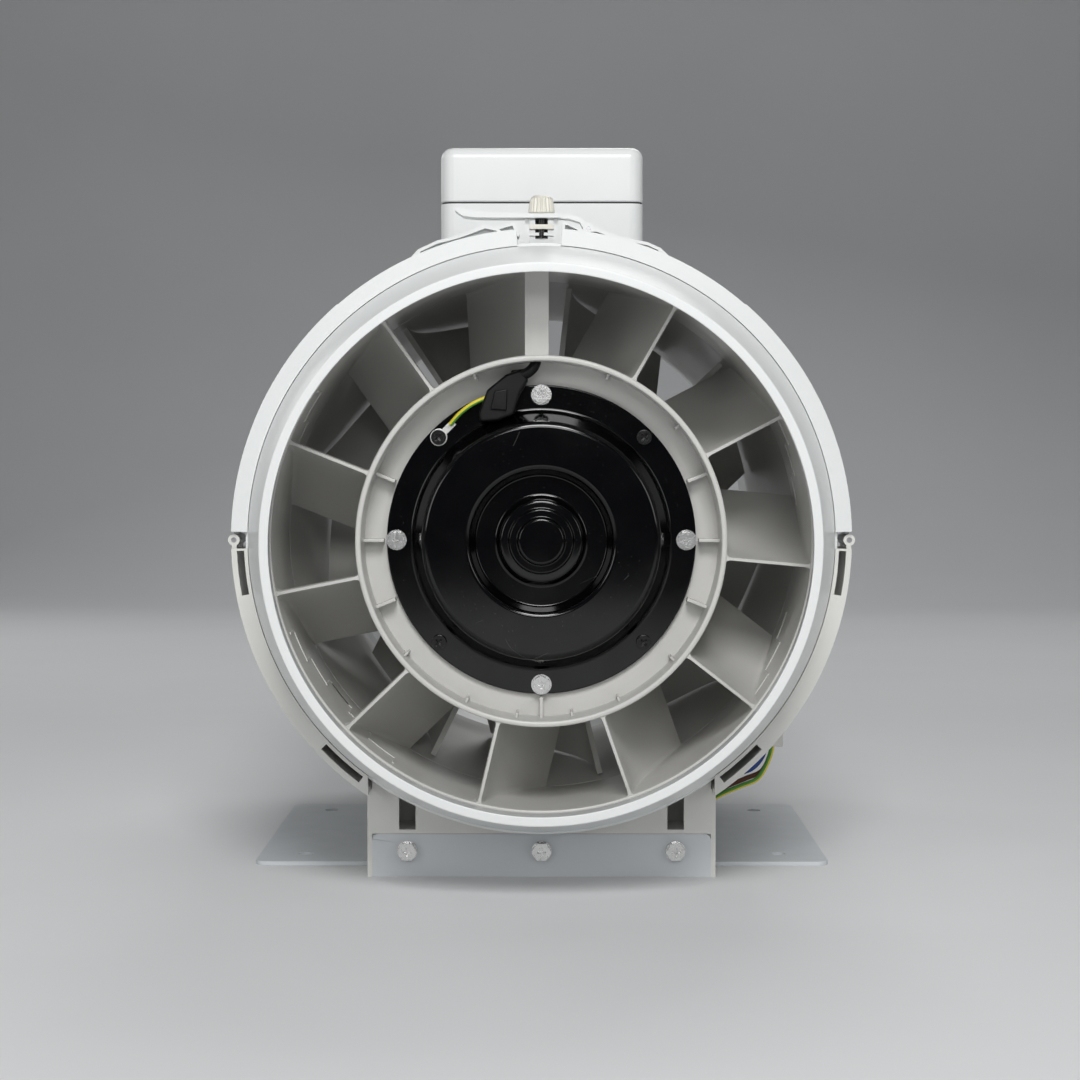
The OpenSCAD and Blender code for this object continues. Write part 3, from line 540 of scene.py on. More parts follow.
@dataclass(frozen=True)
class Finish:
    """A surface finish: a base colour with slow drift, uneven gloss and a fine texture in its normals."""

    name: str
    colour: Colour
    roughness: float
    metallic: float = 0.0
    tint: float = 0.05
    tint_scale: float = 14.0
    gloss_drift: float = 0.06
    grain_scale: float = 1400.0
    grain: float = 0.05
    grain_depth: float = 0.0002
    specular: float = 0.5
    stretch: Point3 = (1.0, 1.0, 1.0)

    def build(self) -> bpy.types.Material:
        """Builds the finish once.

        Returns:
            The material, made on the first call and reused after that.
        """
        title = f"{self.name}_finish"
        ready = bpy.data.materials.get(title)
        if ready:
            return ready
        material = bpy.data.materials.new(title)
        material.use_nodes = True
        bench = NodeBench(material, self.stretch)
        shader = bench.nodes["Principled BSDF"].inputs
        shader["Metallic"].default_value = self.metallic
        shader["Specular IOR Level"].default_value = self.specular
        bench.feed(self.paint(bench), shader["Base Color"])
        bench.feed(self.uneven(bench), shader["Roughness"])
        bench.feed(self.texture(bench), shader["Normal"])
        return material

    def paint(self, bench: NodeBench) -> Socket:
        """The base colour, a little darker and lighter across the surface.

        Args:
            bench: The material's nodes.

        Returns:
            The colour.
        """
        low = tuple(c * (1 - self.tint) for c in self.colour)
        high = tuple(min(c * (1 + self.tint * 0.4), 1) for c in self.colour)
        return bench.ramp(bench.noise(self.tint_scale, 4), low, high)

    def uneven(self, bench: NodeBench) -> Socket:
        """The roughness, which drifts across the surface."""
        return bench.add("MapRange", {
            "Value": bench.noise(self.tint_scale * 5, 6),
            "From Min": 0.3,
            "From Max": 0.7,
            "To Min": max(self.roughness - self.gloss_drift, 0.02),
            "To Max": min(self.roughness + self.gloss_drift, 1),
        }).outputs["Result"]

    def texture(self, bench: NodeBench) -> Socket:
        """The fine texture in the surface's normals."""
        return bench.bump(bench.noise(self.grain_scale, 2), self.grain, self.grain_depth)


@dataclass(frozen=True)
class DustyEnamel(Finish):
    """Glossy black enamel with fine scratches and pale specks of dust."""

    speck_scale: float = 420.0
    speck_size: float = 0.07
    speck_patches: float = 30.0
    speck_colour: Colour = (0.035, 0.035, 0.034)
    scratch_scale: float = 26.0
    scratch_width: float = 0.0012
    scratch_breaks: float = 45.0
    scratch_limit: float = 0.64

    def specks(self, bench: NodeBench) -> Socket:
        """A mask that is 1 on specks of dust, thicker in some places than in others.

        Args:
            bench: The material's nodes.

        Returns:
            The mask.
        """
        cells = bench.add("TexVoronoi", {"Vector": bench.vector, "Scale": self.speck_scale})
        size = bench.math("MULTIPLY", bench.noise(self.speck_patches, 3), self.speck_size * 2)
        return bench.math("LESS_THAN", cells.outputs["Distance"], size)

    def scratches(self, bench: NodeBench) -> Socket:
        """A mask that is 1 along a few thin wandering scratches.

        Args:
            bench: The material's nodes.

        Returns:
            The mask.
        """
        offset = bench.math("SUBTRACT", bench.noise(self.scratch_scale, 1), 0.5)
        thin = bench.math("LESS_THAN", bench.math("ABSOLUTE", offset), self.scratch_width)
        kept = bench.math("GREATER_THAN", bench.noise(self.scratch_breaks, 2), self.scratch_limit)
        return bench.math("MULTIPLY", thin, kept)

    def paint(self, bench: NodeBench) -> Socket:
        """Black, with the specks and scratches a dull grey."""
        marks = bench.math("MAXIMUM", self.specks(bench), self.scratches(bench))
        return bench.ramp(marks, self.colour, self.speck_colour, 0.0, 1.0)


@dataclass(frozen=True)
class StripedSheath(Finish):
    """A wire's insulation with a second colour in stripes along it."""

    stripe: Colour = (0.75, 0.62, 0.04)
    stripes: float = 2.0
    share: float = 0.42
    blur: float = 0.03

    def paint(self, bench: NodeBench) -> Socket:
        """Two colours that take turns round the wire.

        Args:
            bench: The material's nodes.

        Returns:
            The colour.
        """
        around = bench.add("UVMap", {})
        around.uv_map = WIRE_MAP
        turn = bench.add("SeparateXYZ", {"Vector": around.outputs["UV"]}).outputs["X"]
        part = bench.math("FRACT", bench.math("MULTIPLY", turn, self.stripes))
        return bench.ramp(part, self.stripe, self.colour, self.share, self.share + self.blur)


@dataclass(frozen=True)
class StackedSheets(Finish):
    """Thin layers stacked along the duct, such as laminations or a winding's turns."""

    pitch: float = 0.0007
    depth: float = 0.6
    waviness: float = 0.4
    wave_rate: float = 0.314

    def texture(self, bench: NodeBench) -> Socket:
        """Fine ridges across the duct's axis.

        Args:
            bench: The material's nodes.

        Returns:
            The normal.
        """
        scale = self.wave_rate / self.pitch / 2
        wave = bench.add("TexWave", {"Vector": bench.vector, "Scale": scale, "Distortion": self.waviness})
        wave.bands_direction = "Y"
        return bench.bump(wave.outputs["Fac"], self.depth, self.pitch)


class Paintbox:
    """Every finish of the fan, under the name of the record's slot that it fills."""

    finishes: dict[str, Finish] = {finish.name: finish for finish in (
        Finish("white_plastic", (0.79, 0.805, 0.80), 0.32, tint=0.012, gloss_drift=0.025),
        Finish("support_plastic", (0.70, 0.70, 0.665), 0.36, tint=0.03),
        Finish("vane_plastic", (0.60, 0.595, 0.57), 0.34, tint=0.035),
        Finish("knob_plastic", (0.76, 0.74, 0.66), 0.38, tint=0.04),
        Finish("block_plastic", (0.74, 0.73, 0.66), 0.45),
        Finish("gland_plastic", (0.10, 0.105, 0.11), 0.48, tint=0.12, grain=0.1),
        Finish("seal_rubber", (0.02, 0.02, 0.02), 0.7, tint=0.2, tint_scale=90, grain=0.2, grain_scale=900),
        Finish("bracket_paint", (0.62, 0.645, 0.665), 0.36, tint=0.03, grain_scale=520, grain=0.16,
               grain_depth=0.0003),
        Finish("bright_plate", (0.70, 0.70, 0.69), 0.25, metallic=1.0, tint=0.06, tint_scale=160,
               gloss_drift=0.05, grain_scale=900, grain=0.01),
        Finish("ground_steel", (0.42, 0.42, 0.43), 0.36, metallic=1.0, tint=0.12, tint_scale=60,
               stretch=(1, 8, 1)),
        Finish("tinned_metal", (0.66, 0.66, 0.64), 0.34, metallic=1.0, tint=0.14, tint_scale=220),
        Finish("black_oxide", (0.006, 0.006, 0.0065), 0.24, tint=0.3, tint_scale=200, specular=0.4),
        DustyEnamel("black_enamel", (0.0012, 0.0012, 0.0016), 0.1, gloss_drift=0.025, specular=0.4,
                    grain=0.015, grain_scale=120),
        StackedSheets("laminations", (0.22, 0.22, 0.24), 0.45, metallic=0.8),
        StackedSheets("copper_wire", (0.62, 0.26, 0.10), 0.35, metallic=0.9, tint=0.2, tint_scale=120,
                      pitch=0.0012),
        StripedSheath("earth_sheath", (0.10, 0.32, 0.05), 0.42),
        Finish("brown_sheath", (0.13, 0.045, 0.018), 0.42, tint=0.12, tint_scale=90),
        Finish("blue_sheath", (0.02, 0.07, 0.32), 0.42, tint=0.12, tint_scale=90),
        Finish("black_sheath", (0.003, 0.003, 0.003), 0.36, tint=0.25, tint_scale=90, grain=0.05,
               specular=0.25),
    )}

    @classmethod
    def dress(cls, piece: Piece, slot: str, body: str, *nodes: str) -> Piece:
        """Gives a piece its finish and its body, and hides the frame nodes that it stands for.

        Args:
            piece: The mesh object.
            slot: The record's material slot.
            body: The body that it rides on.
            nodes: The frame nodes that it replaces.

        Returns:
            The same piece.
        """
        piece.data.materials.clear()
        piece.data.materials.append(cls.finishes[slot].build())
        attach(piece, body)
        if nodes:
            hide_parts(*nodes)
        return piece

    @classmethod
    def repaint(cls, node: str, slot: str) -> None:
        """Gives a frame node that stays as it is a better finish.

        Args:
            node: The frame node's name.
            slot: The record's material slot.
        """
        shown = frame["nodes"][node]
        shown.data.materials.clear()
        shown.data.materials.append(cls.finishes[slot].build())


# ---------- studio ----------


@dataclass
class Studio:
    """Plain floor, soft lights and the camera."""

    floor_size: float = 7.0
    floor_colour: tuple[float, float, float] = (0.74, 0.745, 0.75)
    camera_place: Point3 = (0.004, -1.193, 0.2037)
    camera_tilt: float = -2.355
    camera_turn: float = 0.25
    lens: float = 76.2
    sensor: float = 36.0
    softboxes: tuple[tuple[Point3, float, float], ...] = (
        ((0.05, -1.45, 1.15), 0.5, 15.5),
        ((0.0, -1.75, 0.64), 0.34, 3.2),
        ((-0.95, -1.35, 0.45), 0.5, 2.4),
        ((1.0, -1.3, 0.5), 0.5, 2.0),
        ((0.0, -0.1, 1.7), 1.0, 2.6),
        ((0.4, 1.5, 1.6), 1.0, 10.0),
        ((-1.2, 1.3, 0.8), 0.6, 3.5),
    )
    world_strength: float = 0.07

    def build(self) -> None:
        """Makes the floor, the lights, the world and the camera."""
        self.build_floor()
        for i, (place, size, power) in enumerate(self.softboxes):
            self.build_softbox(f"softbox_{i}", place, size, power)
        world = bpy.data.worlds.new("studio")
        world.use_nodes = True
        world.node_tree.nodes["Background"].inputs["Color"].default_value = (0.8, 0.85, 0.9, 1)
        world.node_tree.nodes["Background"].inputs["Strength"].default_value = self.world_strength
        bpy.context.scene.world = world
        bpy.context.scene.view_settings.view_transform = "Standard"
        self.build_camera()

    def build_floor(self) -> None:
        """A plain floor that curves up into a wall far behind the fan."""
        half = self.floor_size / 2
        bend = 0.9
        wall_y = 2.6
        run = [(-half, 0.0)]
        for i in range(13):
            turn = math.pi / 2 * i / 12
            run.append((wall_y - bend + bend * math.sin(turn), bend * (1 - math.cos(turn))))
        run.append((wall_y, 3.2))
        vertices = [Vector((x, y, z)) for y, z in run for x in (-half, half)]
        faces = [[2 * i, 2 * i + 1, 2 * i + 3, 2 * i + 2] for i in range(len(run) - 1)]
        floor = new_object("studio_floor", vertices, faces)
        smooth_shade(floor, 60)
        paper = Finish("studio_paper", self.floor_colour, 0.75, tint=0.02, tint_scale=3, grain=0.04)
        floor.data.materials.append(paper.build())

    def build_softbox(self, name: str, place: Point3, size: float, power: float) -> None:
        """One square area light that faces the middle of the fan.

        Args:
            name: The light's name.
            place: Where it stands.
            size: Length of its sides.
            power: Its power in watts.
        """
        light = bpy.data.lights.new(name, "AREA")
        light.shape = "SQUARE"
        light.size = size
        light.energy = power
        lamp = bpy.data.objects.new(name, light)
        lamp.location = place
        aim = Vector((0, 0, AXIS_Z)) - Vector(place)
        lamp.rotation_euler = aim.to_track_quat("-Z", "Y").to_euler()
        bpy.context.scene.collection.objects.link(lamp)

    def build_camera(self) -> None:
        """The camera, almost level with the duct's axis and straight on to the outlet."""
        lens = bpy.data.cameras.new("camera")
        lens.lens = self.lens
        lens.sensor_width = self.sensor
        camera = bpy.data.objects.new("camera", lens)
        camera.location = self.camera_place
        tilt = math.radians(90 + self.camera_tilt)
        camera.rotation_euler = (tilt, 0, math.radians(self.camera_turn))
        bpy.context.scene.collection.objects.link(camera)
        bpy.context.scene.camera = camera


# ---------- wiring ----------


@dataclass
class Lead:
    """One free single-core lead, from its clip to the ferrule on its end."""

    colour: str
    slot: str
    route: list[Point3]
    diameter: float = 0.0024
    per_span: int = 8

    def build(self) -> Piece:
        """Makes the lead and its ferrule.

        Returns:
            The lead's tube.
        """
        line = catmull(self.route, self.per_span)
        wire = tube_along(f"{self.colour}_core_wire", line, self.diameter / 2)
        ferrule = rounded_copy(f"{self.colour}_ferrule", 0.0002)
        Paintbox.dress(ferrule, "tinned_metal", FIXED, f"{self.colour}_ferrule")
        Paintbox.dress(wire, self.slot, FIXED, f"{self.colour}_lead")
        return wire


@dataclass
class Wiring:
    """The three leads that leave the clip by the right support, and the motor's own cable and earth wire."""

    rest_z: float = 0.0034
    knee_z: float = 0.0042
    plate_y: float = -0.129
    screw_r: float = 0.0675
    hub_r: float = 0.0852
    shroud_r: float = 0.1235
    earth_d: float = 0.0022
    cable_d: float = 0.005
    boot_rise: float = 0.0105
    boot_gap: float = 0.0005
    boot_edge: float = 0.0016
    ridge_rise: float = 0.0120
    ridge_sink: float = 0.0100
    ridge_edge: float = 0.0006

    def build(self) -> None:
        """Makes every wire."""
        z = self.rest_z
        knee = self.knee_z
        Lead("earth", "earth_sheath", [
            (0.112, -0.09, 0.06), (0.11, -0.09, 0.052), (0.105, -0.09, 0.043), (0.097, -0.089, 0.039),
            (0.088, -0.088, 0.035), (0.078, -0.086, 0.029), (0.067, -0.083, 0.02), (0.057, -0.077, 0.01),
            (0.051, -0.066, knee), (0.049, -0.05, z), (0.047, -0.03, z), (0.045, -0.006, z),
            (0.044, 0.018, z),
        ]).build()
        Lead("brown", "brown_sheath", [
            (0.112, -0.087, 0.06), (0.111, -0.087, 0.054), (0.107, -0.087, 0.046), (0.099, -0.086, 0.042),
            (0.09, -0.085, 0.038), (0.08, -0.083, 0.032), (0.069, -0.08, 0.023), (0.06, -0.074, 0.012),
            (0.055, -0.063, knee), (0.053, -0.05, z), (0.051, -0.03, z), (0.049, -0.006, z),
            (0.048, 0.015, z),
        ]).build()
        Lead("blue", "blue_sheath", [
            (0.109, -0.088, 0.06), (0.107, -0.088, 0.053), (0.102, -0.087, 0.047), (0.094, -0.085, 0.044),
            (0.085, -0.0815, 0.039), (0.076, -0.078, 0.032), (0.065, -0.075, 0.022), (0.055, -0.07, 0.012),
            (0.047, -0.06, knee), (0.045, -0.046, z), (0.043, -0.028, z), (0.041, -0.004, z),
            (0.04, 0.02, z),
        ]).build()
        self.build_motor_wires()
        self.build_clamp()

    def build_clamp(self) -> None:
        """The moulded clamp and boot that hold the motor's cable beside the top screw."""
        outline = rounded_outline([
            (-0.0285, 0.0545, 0.002), (-0.0290, 0.0585, 0.002), (-0.0250, 0.0695, 0.003),
            (-0.0165, 0.0765, 0.003), (-0.0090, 0.0792, 0.002), (-0.0058, 0.0740, 0.002),
            (-0.0095, 0.0680, 0.003), (-0.0125, 0.0580, 0.003), (-0.0200, 0.0552, 0.002),
        ])
        shifted = [(x, AXIS_Z + z) for x, z in outline]
        boot = extrude_outline("cable_boot", shifted, self.plate_y - self.boot_rise,
                               self.plate_y - self.boot_gap, self.boot_edge)
        ridge = extrude_outline("cable_boot_ridge", [
            (-0.0235, AXIS_Z + 0.0605), (-0.0160, AXIS_Z + 0.0600),
            (-0.0155, AXIS_Z + 0.0700), (-0.0215, AXIS_Z + 0.0690),
        ], self.plate_y - self.ridge_rise, self.plate_y - self.ridge_sink, self.ridge_edge)
        Paintbox.dress(join([boot, ridge]), "black_sheath", FIXED, "cable_clamp")

    def build_motor_wires(self) -> None:
        """The earth wire at the tag and the cable that climbs into the hollow vane."""
        y = self.plate_y
        x = self.screw_r * math.cos(math.radians(135))
        z = AXIS_Z + self.screw_r * math.sin(math.radians(135))
        earth = tube_along("earth_jumper", catmull([
            (x + 0.0055, y - 0.0016, z + 0.006), (x + 0.010, y - 0.004, z + 0.011),
            (x + 0.016, y - 0.006, z + 0.0154), (x + 0.0224, y - 0.006, z + 0.0184),
        ], 8), self.earth_d / 2)
        Paintbox.dress(earth, "earth_sheath", FIXED, "earth_wire")
        cable = tube_along("motor_flex", catmull([
            (-0.013, y - 0.006, AXIS_Z + self.screw_r + 0.0088),
            (-0.006, y - 0.009, AXIS_Z + self.hub_r - 0.0076),
            (-0.002, y - 0.008, AXIS_Z + self.hub_r), (-0.002, y - 0.004, AXIS_Z + self.shroud_r - 0.014),
            (-0.002, y - 0.002, AXIS_Z + self.shroud_r - 0.001),
        ], 8), self.cable_d / 2)
        Paintbox.dress(cable, "black_sheath", FIXED, "motor_cable")


# ---------- duct pieces ----------


@dataclass
class Spigot:
    """A collar that a duct slides over, with its cone and flange."""

    end: End
    collar_r: float = 0.124
    collar_wall: float = 0.0044
    collar_len: float = 0.028
    cone_len: float = 0.031
    cone_wall: float = 0.003
    flange_rise: float = 0.0016
    flange_gap: float = 0.0028
    rim_inner_edge: float = 0.0006
    rim_outer_edge: float = 0.0009
    draft: float = 0.0028

    def build(self) -> None:
        """Turns the spigot, whose collar thins towards the cone, and dresses it."""
        node = f"{self.end.label}_spigot"
        low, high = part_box(node)
        flange_r = (high.z - low.z) / 2
        cone_r = flange_r - self.flange_rise
        depth = high.y - low.y
        cone_end = self.collar_len + self.cone_len
        inner = self.collar_r - self.collar_wall
        corners = [
            (inner, 0, self.rim_inner_edge), (self.collar_r, 0, self.rim_outer_edge),
            (self.collar_r, self.collar_len, 0.002),
            (cone_r, cone_end - 0.0004, 0.0015), (cone_r, cone_end + self.flange_gap, 0.0003),
            (flange_r, cone_end + self.flange_gap, 0.0004), (flange_r, depth, 0.0004),
            (cone_r - self.cone_wall, depth, 0.0004), (cone_r - self.cone_wall, cone_end, 0.002),
            (inner + self.draft, self.collar_len, 0.003),
        ]
        outer_y = low.y if self.end is End.FRONT else high.y
        profile = [(r, outer_y - self.end.value * d) for r, d in rounded_outline(corners)]
        piece = lathe(f"{self.end.label}_collar_shell", profile)
        Paintbox.dress(piece, "white_plastic", FIXED, node)


@dataclass
class EndShield:
    """The pressed black end of the motor, with its dome, recess and bearing boss."""

    plate_r: float = 0.072
    dome_r: float = 0.060
    shoulder_r: float = 0.0545
    dome_h: float = 0.017
    recess_r: float = 0.0325
    recess_floor: float = 0.008
    boss_r: float = 0.019
    thickness: float = 0.0015

    def build(self) -> None:
        """Turns the shield and dresses it."""
        low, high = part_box("motor_end_shield")
        plate_y = low.y + self.dome_h + 0.002
        top = self.dome_h
        corners = [
            (0.0, top + 0.0019, 0), (0.0104, top + 0.0019, 0.0014), (0.0112, top, 0.0006),
            (0.0146, top, 0.0008), (0.0152, top - 0.0014, 0.0006), (self.boss_r, top - 0.0016, 0.0016),
            (self.boss_r + 0.0012, self.recess_floor, 0.002),
            (self.recess_r - 0.002, self.recess_floor, 0.001),
            (self.recess_r + 0.0006, top, 0.0028), (self.shoulder_r, top - 0.0003, 0.0034),
            (self.dome_r - 0.0002, 0.0, 0.0022),
            (self.plate_r, 0.0, 0.0006), (self.plate_r, -self.thickness, 0.0004),
            (self.dome_r - 0.002, -self.thickness, 0.002), (self.shoulder_r - 0.003, top - 0.003, 0.003),
            (self.recess_r + 0.002, top - 0.003, 0.003),
            (self.recess_r - 0.002, self.recess_floor - self.thickness, 0.001),
            (0.0, self.recess_floor - self.thickness, 0),
        ]
        outline = rounded_outline(corners, closed=False, steps=6)
        piece = lathe("motor_front_shell", [(r, plate_y - h) for r, h in outline], 256, closed=False)
        smooth_shade(piece, 50)
        Paintbox.dress(piece, "black_enamel", FIXED, "motor_end_shield")


@dataclass
class GuideVaneSet:
    """The hub ring, shroud and curved vanes that straighten the air, with fillets where they meet."""

    shroud_r: float = 0.1235
    shroud_wall: float = 0.002
    hub_r: float = 0.0852
    hub_wall: float = 0.0027
    flange_r: float = 0.1376
    flange_y: Point2 = (-0.1262, -0.1237)
    rim_share: float = 0.45
    lip_edge: float = 0.0004
    front_y: float = field(init=False)
    rear_y: float = field(init=False)
    count: int = 11
    first_angle: float = 93.0
    thickness: float = 0.0024
    shift: float = 0.030
    fillet: float = 0.0028
    lead_in: float = 0.001
    margin: float = 0.0006
    tip_share: float = 0.55
    floor_front: float = -0.126
    floor_depth: float = 0.003
    floor_in: float = 0.0565
    screw_r: float = 0.0675
    plate_r: float = 0.072
    boss_radii: Point2 = (0.002, 0.0045)
    boss_y: Point2 = (-0.126, -0.114)
    duct_x0: float = -0.0075
    duct_w: float = 0.011
    duct_depth: float = 0.034
    long_rib_angles: tuple[int, ...] = (0, 180, 270, 22, 158, 202, 338)
    short_rib_angles: tuple[int, ...] = (40, 68, 112, 220, 245, 262, 280, 296, 318)
    rib_sink: float = 0.0005

    def build(self) -> None:
        """Makes the whole housing as one moulding."""
        low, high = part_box("guide_vane_housing")
        self.front_y = low.y
        self.rear_y = high.y
        ends = (low.y, high.y)
        shroud_edge = self.shroud_wall * self.rim_share
        hub_edge = self.hub_wall * self.rim_share
        shroud = (self.shroud_r, self.shroud_r + self.shroud_wall)
        floor_y = (self.floor_front, self.floor_front + self.floor_depth)
        pieces = [
            self.band("guide_vanes_moulding", shroud, ends, shroud_edge, shroud_edge),
            self.band("hub_ring", (self.hub_r - self.hub_wall, self.hub_r), ends, hub_edge, hub_edge),
            self.band("flange", (self.shroud_r + 0.001, self.flange_r), self.flange_y, 0, self.lip_edge),
            self.band("floor", (self.floor_in, self.hub_r - 0.0015), floor_y, self.lip_edge, 0),
        ]
        pieces += [self.vane(k) for k in range(self.count)]
        pieces.append(self.cable_duct())
        pieces += self.ribs() + self.bosses() + self.mould_steps()
        Paintbox.dress(join(pieces), "vane_plastic", FIXED, "guide_vane_housing")

    def band(self, name: str, radii: Point2, depths: Point2, inner_edge: float, outer_edge: float) -> Piece:
        """One turned ring of the moulding.

        Args:
            name: The ring's name.
            radii: Its inner and outer radius.
            depths: The two ends of its stretch of Y.
            inner_edge: Rounding of its inner edges.
            outer_edge: Rounding of its outer edges.

        Returns:
            The ring.
        """
        (r_in, r_out), (y0, y1) = radii, depths
        corners = [(r_in, y0, inner_edge), (r_out, y0, outer_edge),
                   (r_out, y1, outer_edge), (r_in, y1, inner_edge)]
        return lathe(name, rounded_outline(corners))

    def vane(self, k: int) -> Piece:
        """One curved vane, thicker where it runs into the hub and the shroud.

        Args:
            k: The vane's number.

        Returns:
            The vane.
        """
        depth = self.rear_y - self.front_y - self.lead_in - 0.0008
        turn = 2 * math.atan(self.shift / depth)
        arc_r = depth / math.sin(turn)
        angle = math.radians(self.first_angle - k * 360 / self.count)
        along = Vector((math.cos(angle), 0, math.sin(angle)))
        across = Vector((-math.sin(angle), 0, math.cos(angle)))
        inner = self.hub_r - self.margin
        outer = self.shroud_r + self.margin
        shares = [0, 0.35, 0.7, 1.0]
        radii = [inner + self.fillet * s for s in shares]
        radii += [inner + (outer - inner) * s for s in (0.3, 0.5, 0.7)]
        radii += [outer - self.fillet * s for s in reversed(shares)]
        steps = 14
        rings = []
        for r in radii:
            near = min(r - inner, outer - r)
            rise = 1 - min(near / self.fillet, 1)
            half = self.thickness / 2 + self.fillet * (1 - math.sqrt(max(1 - rise * rise, 0)))
            front, back = [], []
            for i in range(steps + 1):
                v = depth * i / steps
                u = arc_r - math.sqrt(arc_r ** 2 - v * v)
                lean = math.asin(v / arc_r)
                taper = 1.0 if 0 < i < steps else self.tip_share
                for run, sign in ((front, 1), (back, -1)):
                    side = u + sign * half * taper * math.cos(lean)
                    y = self.front_y + self.lead_in + v - sign * half * taper * math.sin(lean)
                    y = min(max(y, self.front_y + self.margin), self.rear_y - self.margin)
                    reach = math.sqrt(max(r * r - side * side, 0))
                    run.append(Vector((0, y, AXIS_Z)) + along * reach + across * side)
            rings.append(front + back[::-1])
        return rings_to_mesh(f"vane_{k}", rings)

    def cable_duct(self) -> Piece:
        """The hollow strut at the top that the motor's cable climbs through."""
        wall = 0.0015
        y0 = self.front_y + self.lead_in + 0.0002
        outer = [(self.duct_x0, y0), (self.duct_x0 + self.duct_w, y0),
                 (self.duct_x0 + self.duct_w, y0 + self.duct_depth), (self.duct_x0, y0 + self.duct_depth)]
        inner = [(x + (wall if x < 0 else -wall), y + (wall if y == y0 else -wall)) for x, y in outer]
        z0, z1 = AXIS_Z + self.hub_r - 0.001, AXIS_Z + self.shroud_r - 0.0002
        rings = []
        for outline, z in ((inner, z0), (outer, z0), (outer, z1), (inner, z1), (inner, z0)):
            rings.append([Vector((x, y, z)) for x, y in outline])
        strut = rings_to_mesh("cable_duct", rings, caps=False)
        bevel(strut, 0.0004, 2, 40)
        return strut

    def ribs(self) -> list[Piece]:
        """Thin ribs on the hub ring's floor: long low ones that point inwards, and short high ones."""
        inner = self.hub_r - self.hub_wall
        long_ribs = [(a, self.plate_r + 0.001, 0.0016, 0.009) for a in self.long_rib_angles]
        short_ribs = [(a, inner - 0.0022, 0.0012, 0.014) for a in self.short_rib_angles]
        made = []
        for angle, r0, width, height in long_ribs + short_ribs:
            a = math.radians(angle)
            along = Vector((math.cos(a), 0, math.sin(a)))
            across = Vector((-math.sin(a), 0, math.cos(a))) * width / 2
            y1 = self.floor_front + self.rib_sink
            y0 = self.floor_front - height
            r1 = inner + self.rib_sink
            base = Vector((0, 0, AXIS_Z))
            near = [base + along * r0 - across, base + along * r1 - across,
                    base + along * r1 + across, base + along * r0 + across]
            rib = rings_to_mesh("rib", [[p + Vector((0, y0, 0)) for p in near],
                                        [p + Vector((0, y1, 0)) for p in near]])
            bevel(rib, 0.00035, 2, 50)
            made.append(rib)
        return made

    def bosses(self) -> list[Piece]:
        """The four posts behind the motor's plate."""
        made = []
        (hole, outside), (near, far) = self.boss_radii, self.boss_y
        for angle in (0, 90, 180, 270):
            centre = place_on_axis(self.screw_r, math.radians(angle), 0)
            rings = []
            for r, y in ((hole, near), (outside, near), (outside, far), (hole, far)):
                turns = [2 * math.pi * k / 24 for k in range(24)]
                rings.append([centre + Vector((r * math.cos(t), y, r * math.sin(t))) for t in turns])
            made.append(rings_to_mesh("boss", rings, caps=False))
        return made

    def mould_steps(self) -> list[Piece]:
        """Low stepped ridges that the mould leaves inside the shroud."""
        made = []
        for start, sign in ((200, 1), (322, 1), (236, -1), (146, 1), (28, -1)):
            for turn, y0, y1 in ((0, 0.008, 0.024), (7, 0.022, 0.040), (14, 0.038, 0.056)):
                a0 = math.radians(start + sign * turn)
                a1 = math.radians(start + sign * (turn + 7))
                made.append(self.ridge(a0, a0 + math.radians(0.5), y0, y1))
                made.append(self.ridge(min(a0, a1), max(a0, a1), y1 - 0.001, y1))
        return made

    def ridge(self, a0: float, a1: float, y0: float, y1: float) -> Piece:
        """A low ridge on the shroud's inner face.

        Args:
            a0: The angle where it starts, in radians.
            a1: The angle where it ends, in radians.
            y0: Its near depth behind the front.
            y1: Its far depth behind the front.

        Returns:
            The ridge.
        """
        rise = 0.0004
        steps = 8
        rings = []
        for i in range(steps + 1):
            a = a0 + (a1 - a0) * i / steps
            rings.append([place_on_axis(r, a, self.front_y + y) for r, y in (
                (self.shroud_r - rise, y0), (self.shroud_r - rise, y1),
                (self.shroud_r + rise, y1), (self.shroud_r + rise, y0))])
        return rings_to_mesh("ridge", rings)


@dataclass
class InletBell:
    """The smooth bell that leads the air into the impeller."""

    edge: float = 0.0004
    sharp_angle: float = 45.0

    def build(self) -> None:
        """Makes the bell as a rounded copy of the frame's."""
        piece = rounded_copy("inlet_cone", self.edge)
        smooth_shade(piece, self.sharp_angle)
        Paintbox.dress(piece, "vane_plastic", FIXED, "inlet_cone")


# ---------- terminal box ----------


